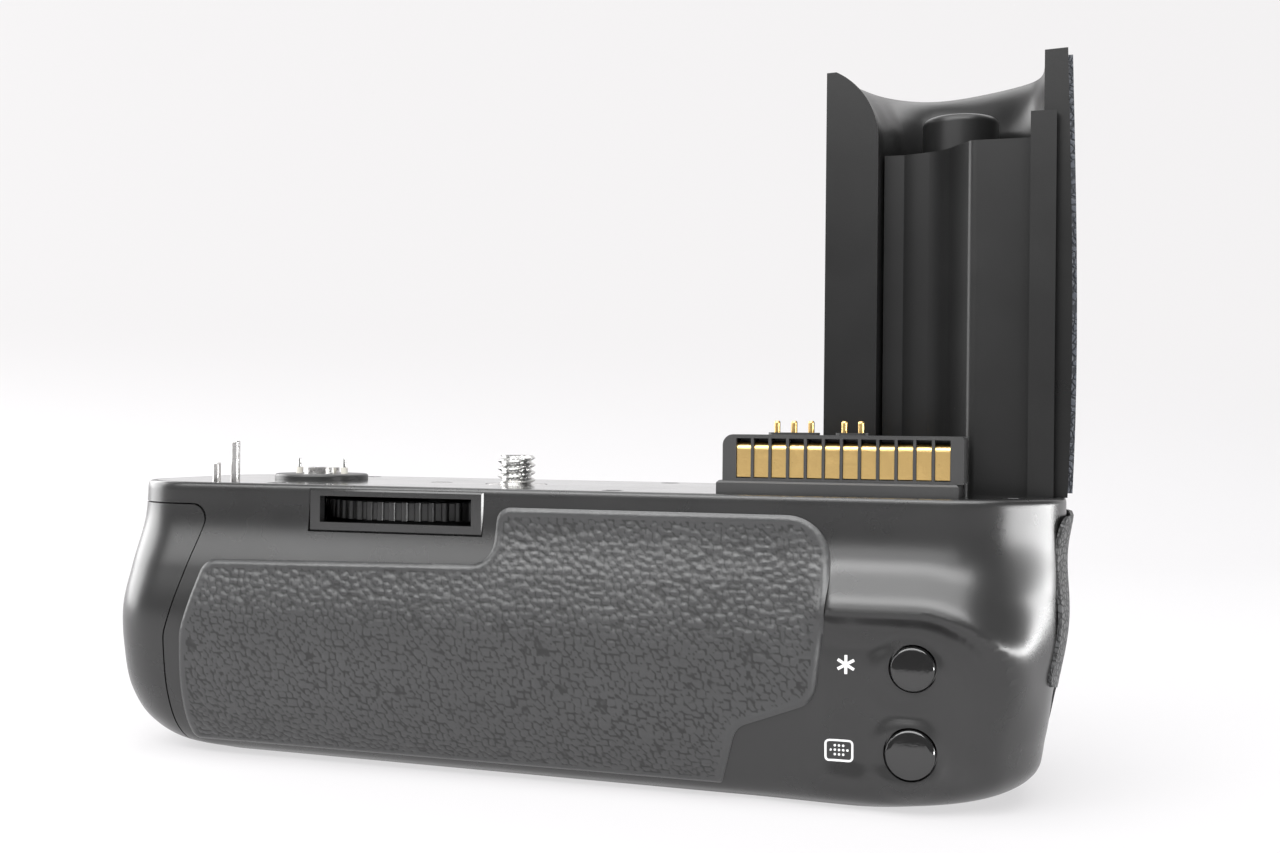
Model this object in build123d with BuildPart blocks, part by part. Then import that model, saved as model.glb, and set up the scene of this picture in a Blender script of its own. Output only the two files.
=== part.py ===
from build123d import *
import math
import os

# Camera power booster, in millimetres.
# The origin is where the camera screw's axis meets the flat top. X runs along the body towards the tower,
# Y runs from the photographer's side to the front, and Z runs up.

# Body: overall outline of the flat top
left_end = -63.4
right_end = 89.0
back_face = -20.3
front_face = 22.6
grip_front = 27.2
grip_start = 54.0
step_width = 8.0
body_height = 45.0
wall = 2.2
floor_wall = 1.8
edge_round = 0.7
corner_back_left = 12.0
corner_back_right = 16.0
corner_front_right = 20.0
corner_grip_left = 10.0
corner_step = 6.0
corner_front_left = 10.0

# How far the body swells past that outline at each depth:
# depth, back at the left, back at the right, left end, right end, front
body_swell = [
    (0.0, 0.0, 0.0, 0.0, 0.0, 0.0),
    (6.0, 0.4, 0.2, 0.2, 0.0, 0.1),
    (14.0, 2.7, 1.6, 1.1, 0.0, 0.5),
    (21.0, 4.1, 2.6, 1.9, -0.3, 0.9),
    (28.0, 3.9, 2.6, 1.7, -1.6, 1.1),
    (35.0, 2.4, 2.2, 1.0, -2.7, 0.8),
    (body_height - 5.0, -0.2, 1.2, -0.8, -4.6, -0.5),
    (body_height - 1.6, -3.6, -0.6, -4.0, -8.6, -3.2),
    (body_height, -7.5, -3.2, -8.5, -13.5, -6.5),
]

# Gaps between pieces
slide_gap = 0.3
face_gap = 0.1
fit_gap = 0.03
run_gap = 0.06
seam_gap = 0.25
# how far a cut reaches past the wall that it opens
cut_reach = 12.0

# Top plate
plate_thickness = 1.6
plate_inset = 1.2
plate_gap = 0.1
plate_screw_places = [(-36.0, -16.0), (-36.0, 18.6), (22.0, -16.0), (22.0, 18.6), (81.5, -13.5), (85.0, 9.0)]
screw_head_radius = 1.6
screw_head_depth = 0.9
screw_shank_radius = 0.8
screw_shank_length = 6.5
screw_boss_radius = 2.4
screw_boss_depth = 7.6

# Camera screw, its bush, pinion and attachment wheel
screw_radius = 3.175
screw_neck_radius = 3.0
screw_top = 4.9
bush_radius = 5.2
bush_drop = 0.3
screw_flange_radius = 4.2
screw_flange_thickness = 0.85
retainer_thickness = 0.25
bush_chamfer = 0.3
thread_chamfer = 0.45
journal_radius = 1.7
tooth_module = 0.5
ring_teeth = 68
pinion_teeth = 13
pinion_thickness = 2.7
tooth_play = 0.16
wheel_radius = 19.5
wheel_centre_y = 0.2
wheel_top = -2.4
wheel_thickness = 3.3
knurl_count = 56
knurl_radius = 0.55
knurl_outset = 0.12
web_thickness = 1.1
web_radius = 18.0
axle_radius = 2.5
axle_stud_radius = 1.8
axle_head_radius = 4.2
axle_head_thickness = 0.9
hub_radius = 4.6

# Window round the wheel
window_left = -25.6
window_right = 0.5
window_top = -1.7
window_room = 0.2
window_bottom = wheel_top - wheel_thickness - window_room
frame_side = 2.0
frame_above = 1.1
frame_below = 1.55
frame_depth = 1.15
frame_proud = 0.35

# Locating pins
long_pin_x = -45.2
long_pin_y = -14.0
long_pin_radius = 0.75
long_pin_top = 7.0
short_pin_x = -48.2
short_pin_y = -14.9
short_pin_radius = 0.65
short_pin_top = 3.3
pin_flange_step = 0.8
pin_neck_step = 0.2
pin_flange_thickness = 0.8

# Contact disc
disc_x = -40.0
disc_y = 6.0
disc_radius = 8.25
disc_height = 0.9
disc_stem_radius = 5.6
disc_depth = 4.4
contact_hub_radius = 3.15
contact_hub_top = 2.0
contact_hub_bore = 1.9
contact_hub_seat = 0.5
hub_core_height = 0.6
hub_slot_width = 0.9
hub_slot_depth = 0.6
power_pin_spread = 4.5
power_pin_radius = 0.3
power_pin_top = 3.6
power_pin_foot_radius = 0.5
power_pin_foot_height = 0.6
power_pin_bottom = -3.0
power_pin_travel = 1.0
pin_bush_radius = 0.6
pin_bush_top = 2.0

# Connector
connector_left = 39.7
connector_right = 74.8
connector_front = -18.0
connector_depth = 11.0
connector_top = 8.85
flange_left = 38.8
flange_right = 74.1
flange_front = -18.3
flange_back = -6.0
flange_height = 2.0
flange_chamfer = 0.35
foot_left = 42.0
foot_right = 71.0
foot_front = -15.0
foot_back = -9.0
foot_depth = 6.0
slot_first = 41.55
slot_pitch = 2.633
slot_count = 12
slot_bottom = 2.4
slot_top = 8.3
slot_depth = 3.2
rib_width = 0.42
contact_thickness = 0.35
contact_bottom = 2.55
contact_top = 7.75
contact_bend = 1.0
contact_width = 2.1
contact_inset = 0.5
signal_pin_places = (46.8, 49.4, 52.0, 57.0, 59.5)
signal_pin_y = -12.0
signal_pin_radius = 0.475
signal_pin_top = 11.0
signal_pad_height = 0.35
signal_pad_width = 2.6
signal_pin_bottom = 4.2
signal_pin_travel = 1.2

# Tower
tower_height = 66.4
tower_swell = [(0.0, 2.0), (22.0, 3.8), (44.0, 2.6), (tower_height, 0.0)]
swell_right_share = 0.25
tower_left = 52.0
panel_width = 8.4
tower_back_right = -6.6
tower_right = 88.6
tower_rim = 0.75
tower_floor = 3.0
# points round the front: X, Y and the wall's thickness there
tower_curve = [
    (54.4, 10.0, 7.6),
    (58.4, 18.6, 7.6),
    (66.0, 24.2, 7.6),
    (75.8, 20.9, 6.2),
    (82.5, 15.4, 4.4),
    (87.4, 5.0, 2.2),
]
tower_curve_reach = 24.2
tower_centre_x = 72.0
tower_centre_y = 2.0
strip_width = 3.3
mouth_angle = 62.0
mouth_steps = 5
floor_start = 5.7
tower_skin = 0.8
scoop_depth = 11.4
tower_screw_places = [(64.5, 8.5), (80.5, 8.5), (72.0, 17.0)]

# Tower liner, the inner wall
liner_top = 53.6
liner_wall = 1.2
liner_centre_line = [(60.8, 4.6), (64.0, 4.6), (70.5, 2.15), (75.1, -4.7), (84.3, -4.7)]
liner_bends = [0.9, 8.0, 0.9]
rib_left = 83.4
rib_bar_right = 85.2
rib_right = 87.1
rib_back = -7.9
rib_front = -3.0
rib_lip = 1.2
rib_top = 57.0
post_x = 72.4
post_y = 8.4
post_radius = 6.0
post_top = 59.7
post_wall = 1.6
post_rounding = 1.2

# Leather skins
leather_thickness = 0.5
leather_margin = 0.6
leather_left_margin = 1.4
leather_front = 4.0
tower_leather_back = -4.5
leather_reach = 40.0
# outlines of the skins, seen from the back, the front and the right
rear_leather_points = [
    (-45.2, -12.3),
    (4.5, -11.5),
    (4.9, -2.8),
    (56.2, -2.8),
    (56.5, -12.0),
    (54.6, -29.3),
    (43.2, -33.6),
    (40.5, -42.6),
    (-49.4, -42.6),
    (-48.6, -24.0),
]
rear_leather_radii = [3.0, 3.6, 2.2, 6.5, 12.0, 3.6, 3.2, 0.5, 1.0, 9.0]
front_leather_points = [(-44.0, -6.0), (42.0, -6.0), (42.0, -40.0), (-49.0, -40.0), (-49.0, -22.0)]
front_leather_radii = [3.0, 4.0, 4.0, 1.0, 8.0]
grip_leather_points = [
    (-10.9, -2.6),
    (40.0, -2.6),
    (40.0, -40.0),
    (10.0, -40.0),
    (-3.0, -28.5),
    (-13.9, -26.7),
]
grip_leather_radii = [2.2, 1.0, 1.0, 4.0, 6.0, 2.2]
grip_leather_left = 60.0

# Thumb buttons
upper_button_x = 68.3
upper_button_z = -23.8
upper_button_radius = 3.15
lower_button_x = 68.0
lower_button_z = -36.0
lower_button_radius = 3.55
upper_button_face = -22.7
lower_button_face = -21.6
button_travel = 0.8
button_length = 3.5
button_sink = 0.2
button_flange_thickness = 0.8
button_gap = 0.25
button_flange = 0.7
button_flange_room = 4.0
button_rounding = 0.35
dish_radius = 6.0
dish_depth = 0.8
switch_size = 4.4
plunger_radius = 1.1
board_thickness = 1.0
thumb_board_front = -16.6
thumb_board_left = 61.5
thumb_board_right = 75.0
thumb_board_bottom = -40.0
thumb_board_top = -19.6
thumb_post_places = [(63.6, -30.4), (73.0, -30.4)]
thumb_post_length = 4.6
post_thickness = 1.7
board_screw_radius = 0.7
board_screw_length = 3.6
board_screw_head = 1.3

# Slanted control face at the hidden front corner
control_z = -27.0
control_turn = 42.0
control_tilt = 16.0
control_depth = 5.2
shutter_radius = 4.6
shutter_rise = 3.0
shutter_travel = 1.0
shutter_depth = 3.4
shutter_proud = 1.3
shutter_rounding = 0.5
collar_radius = 6.2
collar_height = 0.9
lever_radius = 7.8
lever_height = 1.0
lever_tab_width = 3.0
lever_tab_reach = 2.2
dial_radius = 6.0
dial_width = 8.0
dial_drop = 10.5
dial_sink = 4.6
dial_knurls = 32
dial_knurl_radius = 0.38
dial_knurl_outset = 0.1
cheek_thickness = 1.6
cheek_width = 7.0
cheek_depth = 6.0
dial_axle_radius = 1.0
small_button_radius = 2.2
small_button_side = 9.2
small_button_drop = 9.0
small_button_travel = 0.6
small_button_proud = 0.7
small_button_rounding = 0.4
small_switch_size = 3.4
control_board_drop = 8.0
control_board_width = 17.5
control_board_height = 15.0
control_board_side = 0.25
control_board_drop_below = 5.0
control_board_ear = (6.0, 10.0)
control_board_ear_place = (9.5, -8.0)
control_post_places = [(-6.5, 3.2), (7.5, 0.5)]

# Battery bay, magazine and cells
bay_top = -9.7
bay_bottom = -40.3
bay_centre_y = 1.2
bay_width = 32.6
bay_wall = 0.8
bay_left = -54.4
bay_right = 58.0
bay_end_wall = 1.2
bay_corner = 2.0
bay_contact_places = [(-5.8, -25.0), (8.2, -25.0)]
bay_contact_radius = 1.2
tongue_reach = 5.8
tongue_width = 22.0
tongue_slot = 16.0
bay_foot_places = [(-30.0, -6.8), (-30.0, 9.2), (30.0, -6.8), (30.0, 9.2)]
bay_foot_radius = 3.0
bottom_screw_length = 4.6
cell_radius = 7.0
cell_pitch = 14.5
cell_length = 50.0
cell_nub_radius = 2.6
cell_nub_length = 1.0
cell_gap = 1.8
spring_length = 2.4
frame_plate = 1.5
middle_plate = 1.0
rail_width = 3.0
rail_height = 2.6
frame_corner = 5.0
magazine_left = -55.4
magazine_right = 54.2
contact_leaf = 11.0
leaf_thickness = 0.4

# Magazine end cover and its seam
seam_top = -3.7
seam_right = -45.8
seam_foot_x = -51.9
seam_foot_z = -24.6
knob_z = -25.0
knob_radius = 8.0
knob_thickness = 2.6
knob_bar = 2.2
knob_inner = -62.4
knob_wall = 2.4
knob_pocket = 1.5
knob_rim = 1.2
knob_chamfer = 0.3
knob_shaft_radius = 2.0
boss_radius = 10.6
cover_post_places = [(-9.8, -14.0), (-9.8, -36.0), (12.2, -36.0)]
cover_post_radius = 2.2
cover_post_reach = 12.0
bolt_length = 15.1
bolt_width = 4.0
bolt_thickness = 1.5
bolt_hub = 1.6
bolt_x = -58.6

# Tripod socket
socket_radius = 6.0
socket_bore_radius = 2.6
socket_height = 4.4
socket_depth = 4.0

# Main board
main_board_left = 12.0
main_board_right = 52.0
main_board_width = 27.0
board_boxes = [
    (18.0, -5.0, 7.0, 7.0, 1.4),
    (31.0, -7.5, 9.0, 5.0, 1.8),
    (29.0, 8.5, 6.0, 8.0, 3.2),
    (44.0, 10.5, 9.0, 4.0, 2.4),
]
board_cans = [(40.5, -1.0, 2.5, 3.0), (47.0, -1.0, 2.5, 3.0)]

wheel_distance = tooth_module * (ring_teeth - pinion_teeth) / 2
wheel_centre_x = -math.sqrt(wheel_distance**2 - wheel_centre_y**2)
mesh_angle = math.degrees(math.atan2(-wheel_centre_y, -wheel_centre_x))
far = 200.0
thumb_buttons = [
    (upper_button_x, upper_button_z, upper_button_radius, upper_button_face),
    (lower_button_x, lower_button_z, lower_button_radius, lower_button_face),
]

os.makedirs("parts", exist_ok=True)


def write(part, label):
    """Names the finished piece and writes it."""
    part.label = label
    export_step(part, f"parts/{label}.step")


def body_outline(swell, inset):
    """Plan outline of the body at one depth, pushed out by the swells and drawn in by the inset."""
    back_left, back_right, left, right, front = swell
    x_left = left_end - left + inset
    x_right = right_end + right - inset
    y_back_left = back_face - back_left + inset
    y_back_right = back_face - back_right + inset
    y_front = front_face + front - inset
    y_grip = grip_front + front - inset
    points = [
        (x_left, y_back_left),
        (x_right, y_back_right),
        (x_right, y_grip),
        (grip_start + inset, y_grip),
        (grip_start - step_width + inset, y_front),
        (x_left, y_front),
    ]
    radii = [
        corner_back_left - inset,
        corner_back_right - inset,
        corner_front_right + right - inset,
        corner_grip_left - inset,
        corner_step + inset,
        corner_front_left - inset,
    ]
    return FilletPolyline(*points, radius=radii, close=True)


def body_levels(inset, top, lowest):
    """Sketches of the body's outline from the given top down to the lowest level."""
    sketches = []
    for depth, *swell in body_swell:
        level = max(-depth, lowest)
        if depth == 0.0:
            level = top
        with BuildSketch(Plane.XY.offset(level)) as outline:
            with BuildLine():
                body_outline(swell, inset)
            make_face()
        sketches.append(outline.sketch)
        if level == lowest:
            break
    return sketches


# Planes of the slanted control face, whose own X runs level towards the front and left, and Y up the face
control_normal = Vector(1, 0, 0).rotate(Axis.Y, control_tilt).rotate(Axis.Z, control_turn)
control_across = Vector(0, 1, 0).rotate(Axis.Z, control_turn)
corner_reach = Vector(corner_front_right, 0, 0).rotate(Axis.Z, control_turn)
corner_centre = Vector(right_end - corner_front_right, grip_front - corner_front_right, control_z)
control_plane = Plane(origin=corner_centre + corner_reach, x_dir=control_across, z_dir=control_normal)
control_face = control_plane.offset(-control_depth)


def control_at(side, drop, height):
    """Plane on the slanted face, moved across it, down it and out of it."""
    centre = control_face.from_local_coords((side, -drop, height))
    return Plane(origin=centre, x_dir=control_across, z_dir=control_normal)


dial_start = control_at(-dial_width / 2, dial_drop, -dial_sink)
dial_plane = Plane(origin=dial_start.origin, x_dir=control_normal, z_dir=control_across)

solid_levels = body_levels(0.0, 0.0, -body_height)
with BuildPart() as body_solid:
    loft(solid_levels)
    split(bisect_by=control_face, keep=Keep.BOTTOM)

hollow_levels = body_levels(wall, 0.0, -(body_height - floor_wall))
with BuildPart() as body_hollow:
    loft(hollow_levels)
    split(bisect_by=control_face.offset(-wall), keep=Keep.BOTTOM)

skin_levels = body_levels(-leather_thickness, 0.0, -body_height)
with BuildPart() as body_skin:
    loft(skin_levels)


def seam_region(gap):
    """Region left of the seam, seen from the back, that belongs to the magazine's end cover."""
    with BuildPart() as region:
        with BuildSketch(Plane.XZ.offset(-far / 2)):
            with BuildLine():
                FilletPolyline(
                    (-far / 2, seam_top + gap),
                    (seam_right + gap, seam_top + gap),
                    (seam_foot_x + gap, seam_foot_z),
                    (seam_foot_x + gap, -far / 2),
                    (-far / 2, -far / 2),
                    radius=[0.0, 2.6, 6.0, 0.0, 0.0],
                    close=True,
                )
            make_face()
        extrude(amount=far)
    return region.part


def back_plane(depth):
    """Upright plane facing the photographer's side, at the given Y."""
    return Plane.XZ.offset(-depth)


# Main housing

opening_depth = plate_thickness + face_gap
cheek_side = dial_width / 2 + slide_gap + cheek_thickness / 2
board_back = thumb_board_front + board_thickness
frame_width = window_right - window_left + 2 * frame_side
frame_height = window_top - window_bottom + frame_above + frame_below
frame_x = (window_left + window_right) / 2
frame_z = (window_top + frame_above + window_bottom - frame_below) / 2

with BuildPart() as main_housing:
    add(body_solid.part)
    fillet(main_housing.faces().sort_by(Axis.Z)[-1].outer_wire().edges(), edge_round)
    add(body_hollow.part, mode=Mode.SUBTRACT)
    # screw bosses under the top plate
    with BuildSketch(Plane.XY.offset(-opening_depth)):
        with Locations(*plate_screw_places):
            Circle(screw_boss_radius)
    extrude(amount=-screw_boss_depth)
    with BuildSketch(Plane.XY.offset(-opening_depth)):
        with Locations(*plate_screw_places):
            Circle(screw_shank_radius + fit_gap)
    extrude(amount=-screw_shank_length, mode=Mode.SUBTRACT)
    # recess that holds the top plate
    with BuildSketch():
        with BuildLine():
            body_outline(body_swell[0][1:], plate_inset)
        make_face()
    extrude(amount=-opening_depth, mode=Mode.SUBTRACT)
    # left end, which belongs to the magazine
    add(seam_region(seam_gap), mode=Mode.SUBTRACT)
    # window for the wheel's frame
    with BuildSketch(back_plane(back_face + frame_depth + 1.0)):
        with Locations((frame_x, frame_z)):
            Rectangle(frame_width, frame_height)
    extrude(amount=cut_reach, mode=Mode.SUBTRACT)
    # dishes, holes and board posts of the thumb buttons
    for x, z, radius, face in thumb_buttons:
        sphere_radius = (dish_radius**2 + dish_depth**2) / (2 * dish_depth)
        with Locations((x, face + dish_depth - sphere_radius, z)):
            Sphere(sphere_radius, mode=Mode.SUBTRACT)
        with BuildSketch(back_plane(face + cut_reach / 2)):
            with Locations((x, z)):
                Circle(radius + button_gap)
        extrude(amount=cut_reach, mode=Mode.SUBTRACT)
        flange_face = face + button_length - button_sink - button_flange_thickness
        with BuildSketch(back_plane(flange_face - button_gap)):
            with Locations((x, z)):
                Circle(radius + button_flange + button_gap)
        extrude(amount=-button_flange_room, mode=Mode.SUBTRACT)
    with BuildSketch(back_plane(thumb_board_front)):
        with Locations(*thumb_post_places):
            Circle(post_thickness)
    extrude(amount=thumb_post_length)
    with BuildSketch(back_plane(thumb_board_front)):
        with Locations(*thumb_post_places):
            Circle(board_screw_radius + fit_gap)
    extrude(amount=board_screw_length, mode=Mode.SUBTRACT)
    # holes and supports behind the slanted control face
    with BuildSketch(control_at(0, -shutter_rise, 2.0)):
        Circle(shutter_radius + slide_gap)
    extrude(amount=-(wall + 4.0), mode=Mode.SUBTRACT)
    with BuildSketch(control_at(small_button_side, small_button_drop, 2.0)):
        Circle(small_button_radius + slide_gap)
    extrude(amount=-(wall + 4.0), mode=Mode.SUBTRACT)
    with BuildSketch(dial_plane.offset(-slide_gap)):
        Circle(dial_radius + slide_gap)
    extrude(amount=dial_width + 2 * slide_gap, mode=Mode.SUBTRACT)
    for side in (-cheek_side, cheek_side):
        with BuildSketch(control_at(side, dial_drop, -wall + 0.3)):
            Rectangle(cheek_thickness, cheek_width)
        extrude(amount=-cheek_depth)
    with BuildSketch(Plane(origin=control_at(-10, dial_drop, -dial_sink).origin, z_dir=control_across)):
        Circle(dial_axle_radius + fit_gap)
    extrude(amount=20, mode=Mode.SUBTRACT)
    for side, drop in control_post_places:
        with BuildSketch(control_at(side, drop, -wall + 0.3)):
            Circle(post_thickness)
        extrude(amount=-(control_board_drop - wall + 0.3 - fit_gap))
    # seat of the tripod socket and holes of the bottom screws
    with BuildSketch(Plane.XY.offset(-body_height + floor_wall - 0.2)):
        Circle(socket_radius + 2.0)
    extrude(amount=1.8)
    with BuildSketch(Plane.XY.offset(-body_height)):
        Circle(socket_radius + fit_gap)
        with Locations(*bay_foot_places):
            Circle(screw_head_radius + face_gap)
    extrude(amount=screw_head_depth + face_gap, mode=Mode.SUBTRACT)
    with BuildSketch(Plane.XY.offset(-body_height)):
        Circle(socket_radius + fit_gap)
        with Locations(*bay_foot_places):
            Circle(screw_shank_radius + fit_gap)
    extrude(amount=6.0, mode=Mode.SUBTRACT)
write(main_housing.part, "main_housing")

# Top plate

with BuildPart() as top_plate:
    with BuildSketch():
        with BuildLine():
            body_outline(body_swell[0][1:], plate_inset + plate_gap)
        make_face()
        Circle(bush_radius + fit_gap, mode=Mode.SUBTRACT)
        with Locations((wheel_centre_x, wheel_centre_y)):
            Circle(axle_stud_radius + fit_gap, mode=Mode.SUBTRACT)
        with Locations((disc_x, disc_y)):
            Circle(disc_stem_radius + fit_gap, mode=Mode.SUBTRACT)
        with Locations((long_pin_x, long_pin_y)):
            Circle(long_pin_radius + fit_gap, mode=Mode.SUBTRACT)
        with Locations((short_pin_x, short_pin_y)):
            Circle(short_pin_radius + fit_gap, mode=Mode.SUBTRACT)
        with Locations(((foot_left + foot_right) / 2, (foot_front + foot_back) / 2)):
            Rectangle(foot_right - foot_left + 0.2, foot_back - foot_front + 0.2, mode=Mode.SUBTRACT)
        with Locations(*plate_screw_places, *tower_screw_places):
            Circle(screw_shank_radius + fit_gap, mode=Mode.SUBTRACT)
    extrude(amount=-plate_thickness)
    for x, y in plate_screw_places:
        with BuildSketch(Plane.XY):
            with Locations((x, y)):
                Circle(screw_head_radius + face_gap)
        with BuildSketch(Plane.XY.offset(-screw_head_depth - face_gap)):
            with Locations((x, y)):
                Circle(screw_shank_radius + fit_gap)
        loft(mode=Mode.SUBTRACT)
write(top_plate.part, "top_plate")


def countersunk_screw(x, y, face, direction, length):
    """Small screw with a flush slotted head at the given face, pointing up or down."""
    with BuildPart() as screw:
        with BuildSketch(Plane.XY.offset(face)):
            with Locations((x, y)):
                Circle(screw_head_radius)
        with BuildSketch(Plane.XY.offset(face + direction * screw_head_depth)):
            with Locations((x, y)):
                Circle(screw_shank_radius)
        loft()
        with BuildSketch(Plane.XY.offset(face + direction * screw_head_depth)):
            with Locations((x, y)):
                Circle(screw_shank_radius)
        extrude(amount=direction * (length - screw_head_depth))
        with BuildSketch(Plane.XY.offset(face)):
            with Locations((x, y)):
                Rectangle(2 * screw_head_radius * 0.8, 0.4)
        extrude(amount=direction * 0.4, mode=Mode.SUBTRACT)
    return screw.part


plate_screw_length = screw_shank_length - 0.1
plate_screws = Compound(
    children=[countersunk_screw(x, y, -0.05, -1, plate_screw_length) for x, y in plate_screw_places]
)
write(plate_screws, "plate_screws")

# Frame round the wheel's window

with BuildPart() as window_frame:
    with BuildSketch(back_plane(back_face + frame_depth)):
        with Locations((frame_x, frame_z)):
            Rectangle(frame_width - 2 * fit_gap, frame_height - 2 * fit_gap)
        with Locations((frame_x, (window_top + window_bottom) / 2)):
            Rectangle(window_right - window_left, window_top - window_bottom, mode=Mode.SUBTRACT)
    extrude(amount=frame_depth + frame_proud)
    outer_face = window_frame.faces().sort_by(Axis.Y)[0]
    chamfer(outer_face.outer_wire().edges(), frame_proud * 0.8)
write(window_frame.part, "window_frame")

# Attachment wheel, its axle, the camera screw and the pinion that the wheel's inner teeth drive

wheel_bottom = wheel_top - wheel_thickness
ring_pitch_radius = tooth_module * ring_teeth / 2
ring_tip_radius = ring_pitch_radius - tooth_module
ring_root_radius = ring_pitch_radius + 1.2 * tooth_module
pinion_pitch_radius = tooth_module * pinion_teeth / 2
pinion_tip_radius = pinion_pitch_radius + tooth_module
pinion_root_radius = pinion_pitch_radius - 1.3 * tooth_module
tooth_width = math.pi * tooth_module / 2 - tooth_play
tooth_slope = 0.73 * tooth_module


def tooth(inner_radius, outer_radius, inner_width, outer_width):
    """Outline of one straight-sided gear tooth, pointing along its own X axis."""
    with BuildSketch() as outline:
        with BuildLine():
            Polyline(
                (inner_radius, -inner_width / 2),
                (outer_radius, -outer_width / 2),
                (outer_radius, outer_width / 2),
                (inner_radius, inner_width / 2),
                close=True,
            )
        make_face()
    return outline.sketch


thin_end = tooth_width - tooth_slope
thick_end = tooth_width + tooth_slope
ring_tooth = tooth(ring_tip_radius, ring_root_radius + 0.2, thin_end, thick_end)
pinion_tooth = tooth(pinion_root_radius - 0.2, pinion_tip_radius, thick_end, thin_end)

with BuildPart() as attachment_wheel:
    with BuildSketch(Plane.XY.offset(wheel_bottom)):
        Circle(wheel_radius)
        with PolarLocations(wheel_radius + knurl_outset, knurl_count):
            Circle(knurl_radius, mode=Mode.SUBTRACT)
        Circle(ring_root_radius, mode=Mode.SUBTRACT)
        for index in range(ring_teeth):
            turn = mesh_angle + (index + 0.5) * 360 / ring_teeth
            add(ring_tooth.rotate(Axis.Z, turn))
    extrude(amount=wheel_thickness)
    with BuildSketch(Plane.XY.offset(wheel_bottom)):
        Circle(web_radius)
    extrude(amount=-web_thickness)
    with BuildSketch(Plane.XY.offset(wheel_bottom)):
        Circle(hub_radius)
    extrude(amount=-wheel_bottom - plate_thickness - 0.2)
    with BuildSketch(Plane.XY):
        Circle(axle_radius + run_gap)
    extrude(amount=-far, mode=Mode.SUBTRACT)
write(attachment_wheel.part.translate((wheel_centre_x, wheel_centre_y, 0)), "attachment_wheel")

web_bottom = wheel_bottom - web_thickness
with BuildPart() as wheel_axle:
    with BuildSketch(Plane.XY.offset(-plate_thickness)):
        with Locations((wheel_centre_x, wheel_centre_y)):
            Circle(axle_radius)
    extrude(amount=web_bottom - face_gap + plate_thickness)
    with BuildSketch(Plane.XY.offset(-plate_thickness)):
        with Locations((wheel_centre_x, wheel_centre_y)):
            Circle(axle_stud_radius)
    extrude(amount=plate_thickness - 0.05)
    with BuildSketch(Plane.XY.offset(web_bottom - face_gap)):
        with Locations((wheel_centre_x, wheel_centre_y)):
            Circle(axle_head_radius)
    extrude(amount=-axle_head_thickness)
write(wheel_axle.part, "wheel_axle")

bush_bottom = -plate_thickness - bush_drop
flange_top = bush_bottom + screw_flange_thickness + 0.05
with BuildPart() as screw_bush:
    with BuildSketch(Plane.XY.offset(bush_bottom)):
        Circle(bush_radius)
    extrude(amount=-bush_bottom)
    with BuildSketch(Plane.XY.offset(bush_bottom)):
        Circle(screw_neck_radius + run_gap)
    extrude(amount=-bush_bottom, mode=Mode.SUBTRACT)
    with BuildSketch(Plane.XY.offset(bush_bottom)):
        Circle(screw_flange_radius + run_gap)
    extrude(amount=screw_flange_thickness + 0.1, mode=Mode.SUBTRACT)
    chamfer(screw_bush.faces().sort_by(Axis.Z)[-1].outer_wire().edges(), bush_chamfer)
write(screw_bush.part, "screw_bush")

with BuildPart() as screw_retainer:
    with BuildSketch(Plane.XY.offset(bush_bottom)):
        Circle(bush_radius)
        Circle(journal_radius + run_gap, mode=Mode.SUBTRACT)
    extrude(amount=-retainer_thickness)
write(screw_retainer.part, "screw_retainer")

pinion_top = bush_bottom - retainer_thickness - 0.3
with BuildPart() as camera_screw:
    with BuildSketch(Plane.XY.offset(flange_top - screw_flange_thickness)):
        Circle(screw_flange_radius)
    extrude(amount=screw_flange_thickness - 0.03)
    with BuildSketch(Plane.XY.offset(flange_top - screw_flange_thickness)):
        Circle(screw_neck_radius)
    extrude(amount=-flange_top + screw_flange_thickness)
    with BuildSketch(Plane.XY):
        Circle(screw_radius)
    extrude(amount=screw_top)
    chamfer(camera_screw.faces().sort_by(Axis.Z)[-1].edges(), thread_chamfer)
    with BuildSketch(Plane.XY.offset(flange_top - screw_flange_thickness)):
        Circle(journal_radius)
    extrude(amount=pinion_top - pinion_thickness - flange_top + screw_flange_thickness - 0.1)
write(camera_screw.part, "camera_screw")

with BuildPart() as screw_pinion:
    with BuildSketch(Plane.XY.offset(pinion_top)):
        Circle(pinion_root_radius)
        for index in range(pinion_teeth):
            add(pinion_tooth.rotate(Axis.Z, mesh_angle + index * 360 / pinion_teeth))
        Circle(journal_radius + 0.02, mode=Mode.SUBTRACT)
    extrude(amount=-pinion_thickness)
write(screw_pinion.part, "screw_pinion")


# Locating pins

def locating_pin(x, y, radius, top):
    """Round pin with a domed tip and a flange under the plate."""
    with BuildPart() as pin:
        with BuildSketch(Plane.XY):
            with Locations((x, y)):
                Circle(radius)
        extrude(amount=top)
        fillet(pin.faces().sort_by(Axis.Z)[-1].edges(), radius * 0.6)
        with BuildSketch(Plane.XY):
            with Locations((x, y)):
                Circle(radius - pin_neck_step)
        extrude(amount=-plate_thickness)
        with BuildSketch(Plane.XY.offset(-plate_thickness)):
            with Locations((x, y)):
                Circle(radius + pin_flange_step)
        extrude(amount=-pin_flange_thickness)
    return pin.part


write(locating_pin(long_pin_x, long_pin_y, long_pin_radius, long_pin_top), "long_locating_pin")
write(locating_pin(short_pin_x, short_pin_y, short_pin_radius, short_pin_top), "short_locating_pin")

# Contact disc with its hub, two spring pins and their bushes

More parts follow.
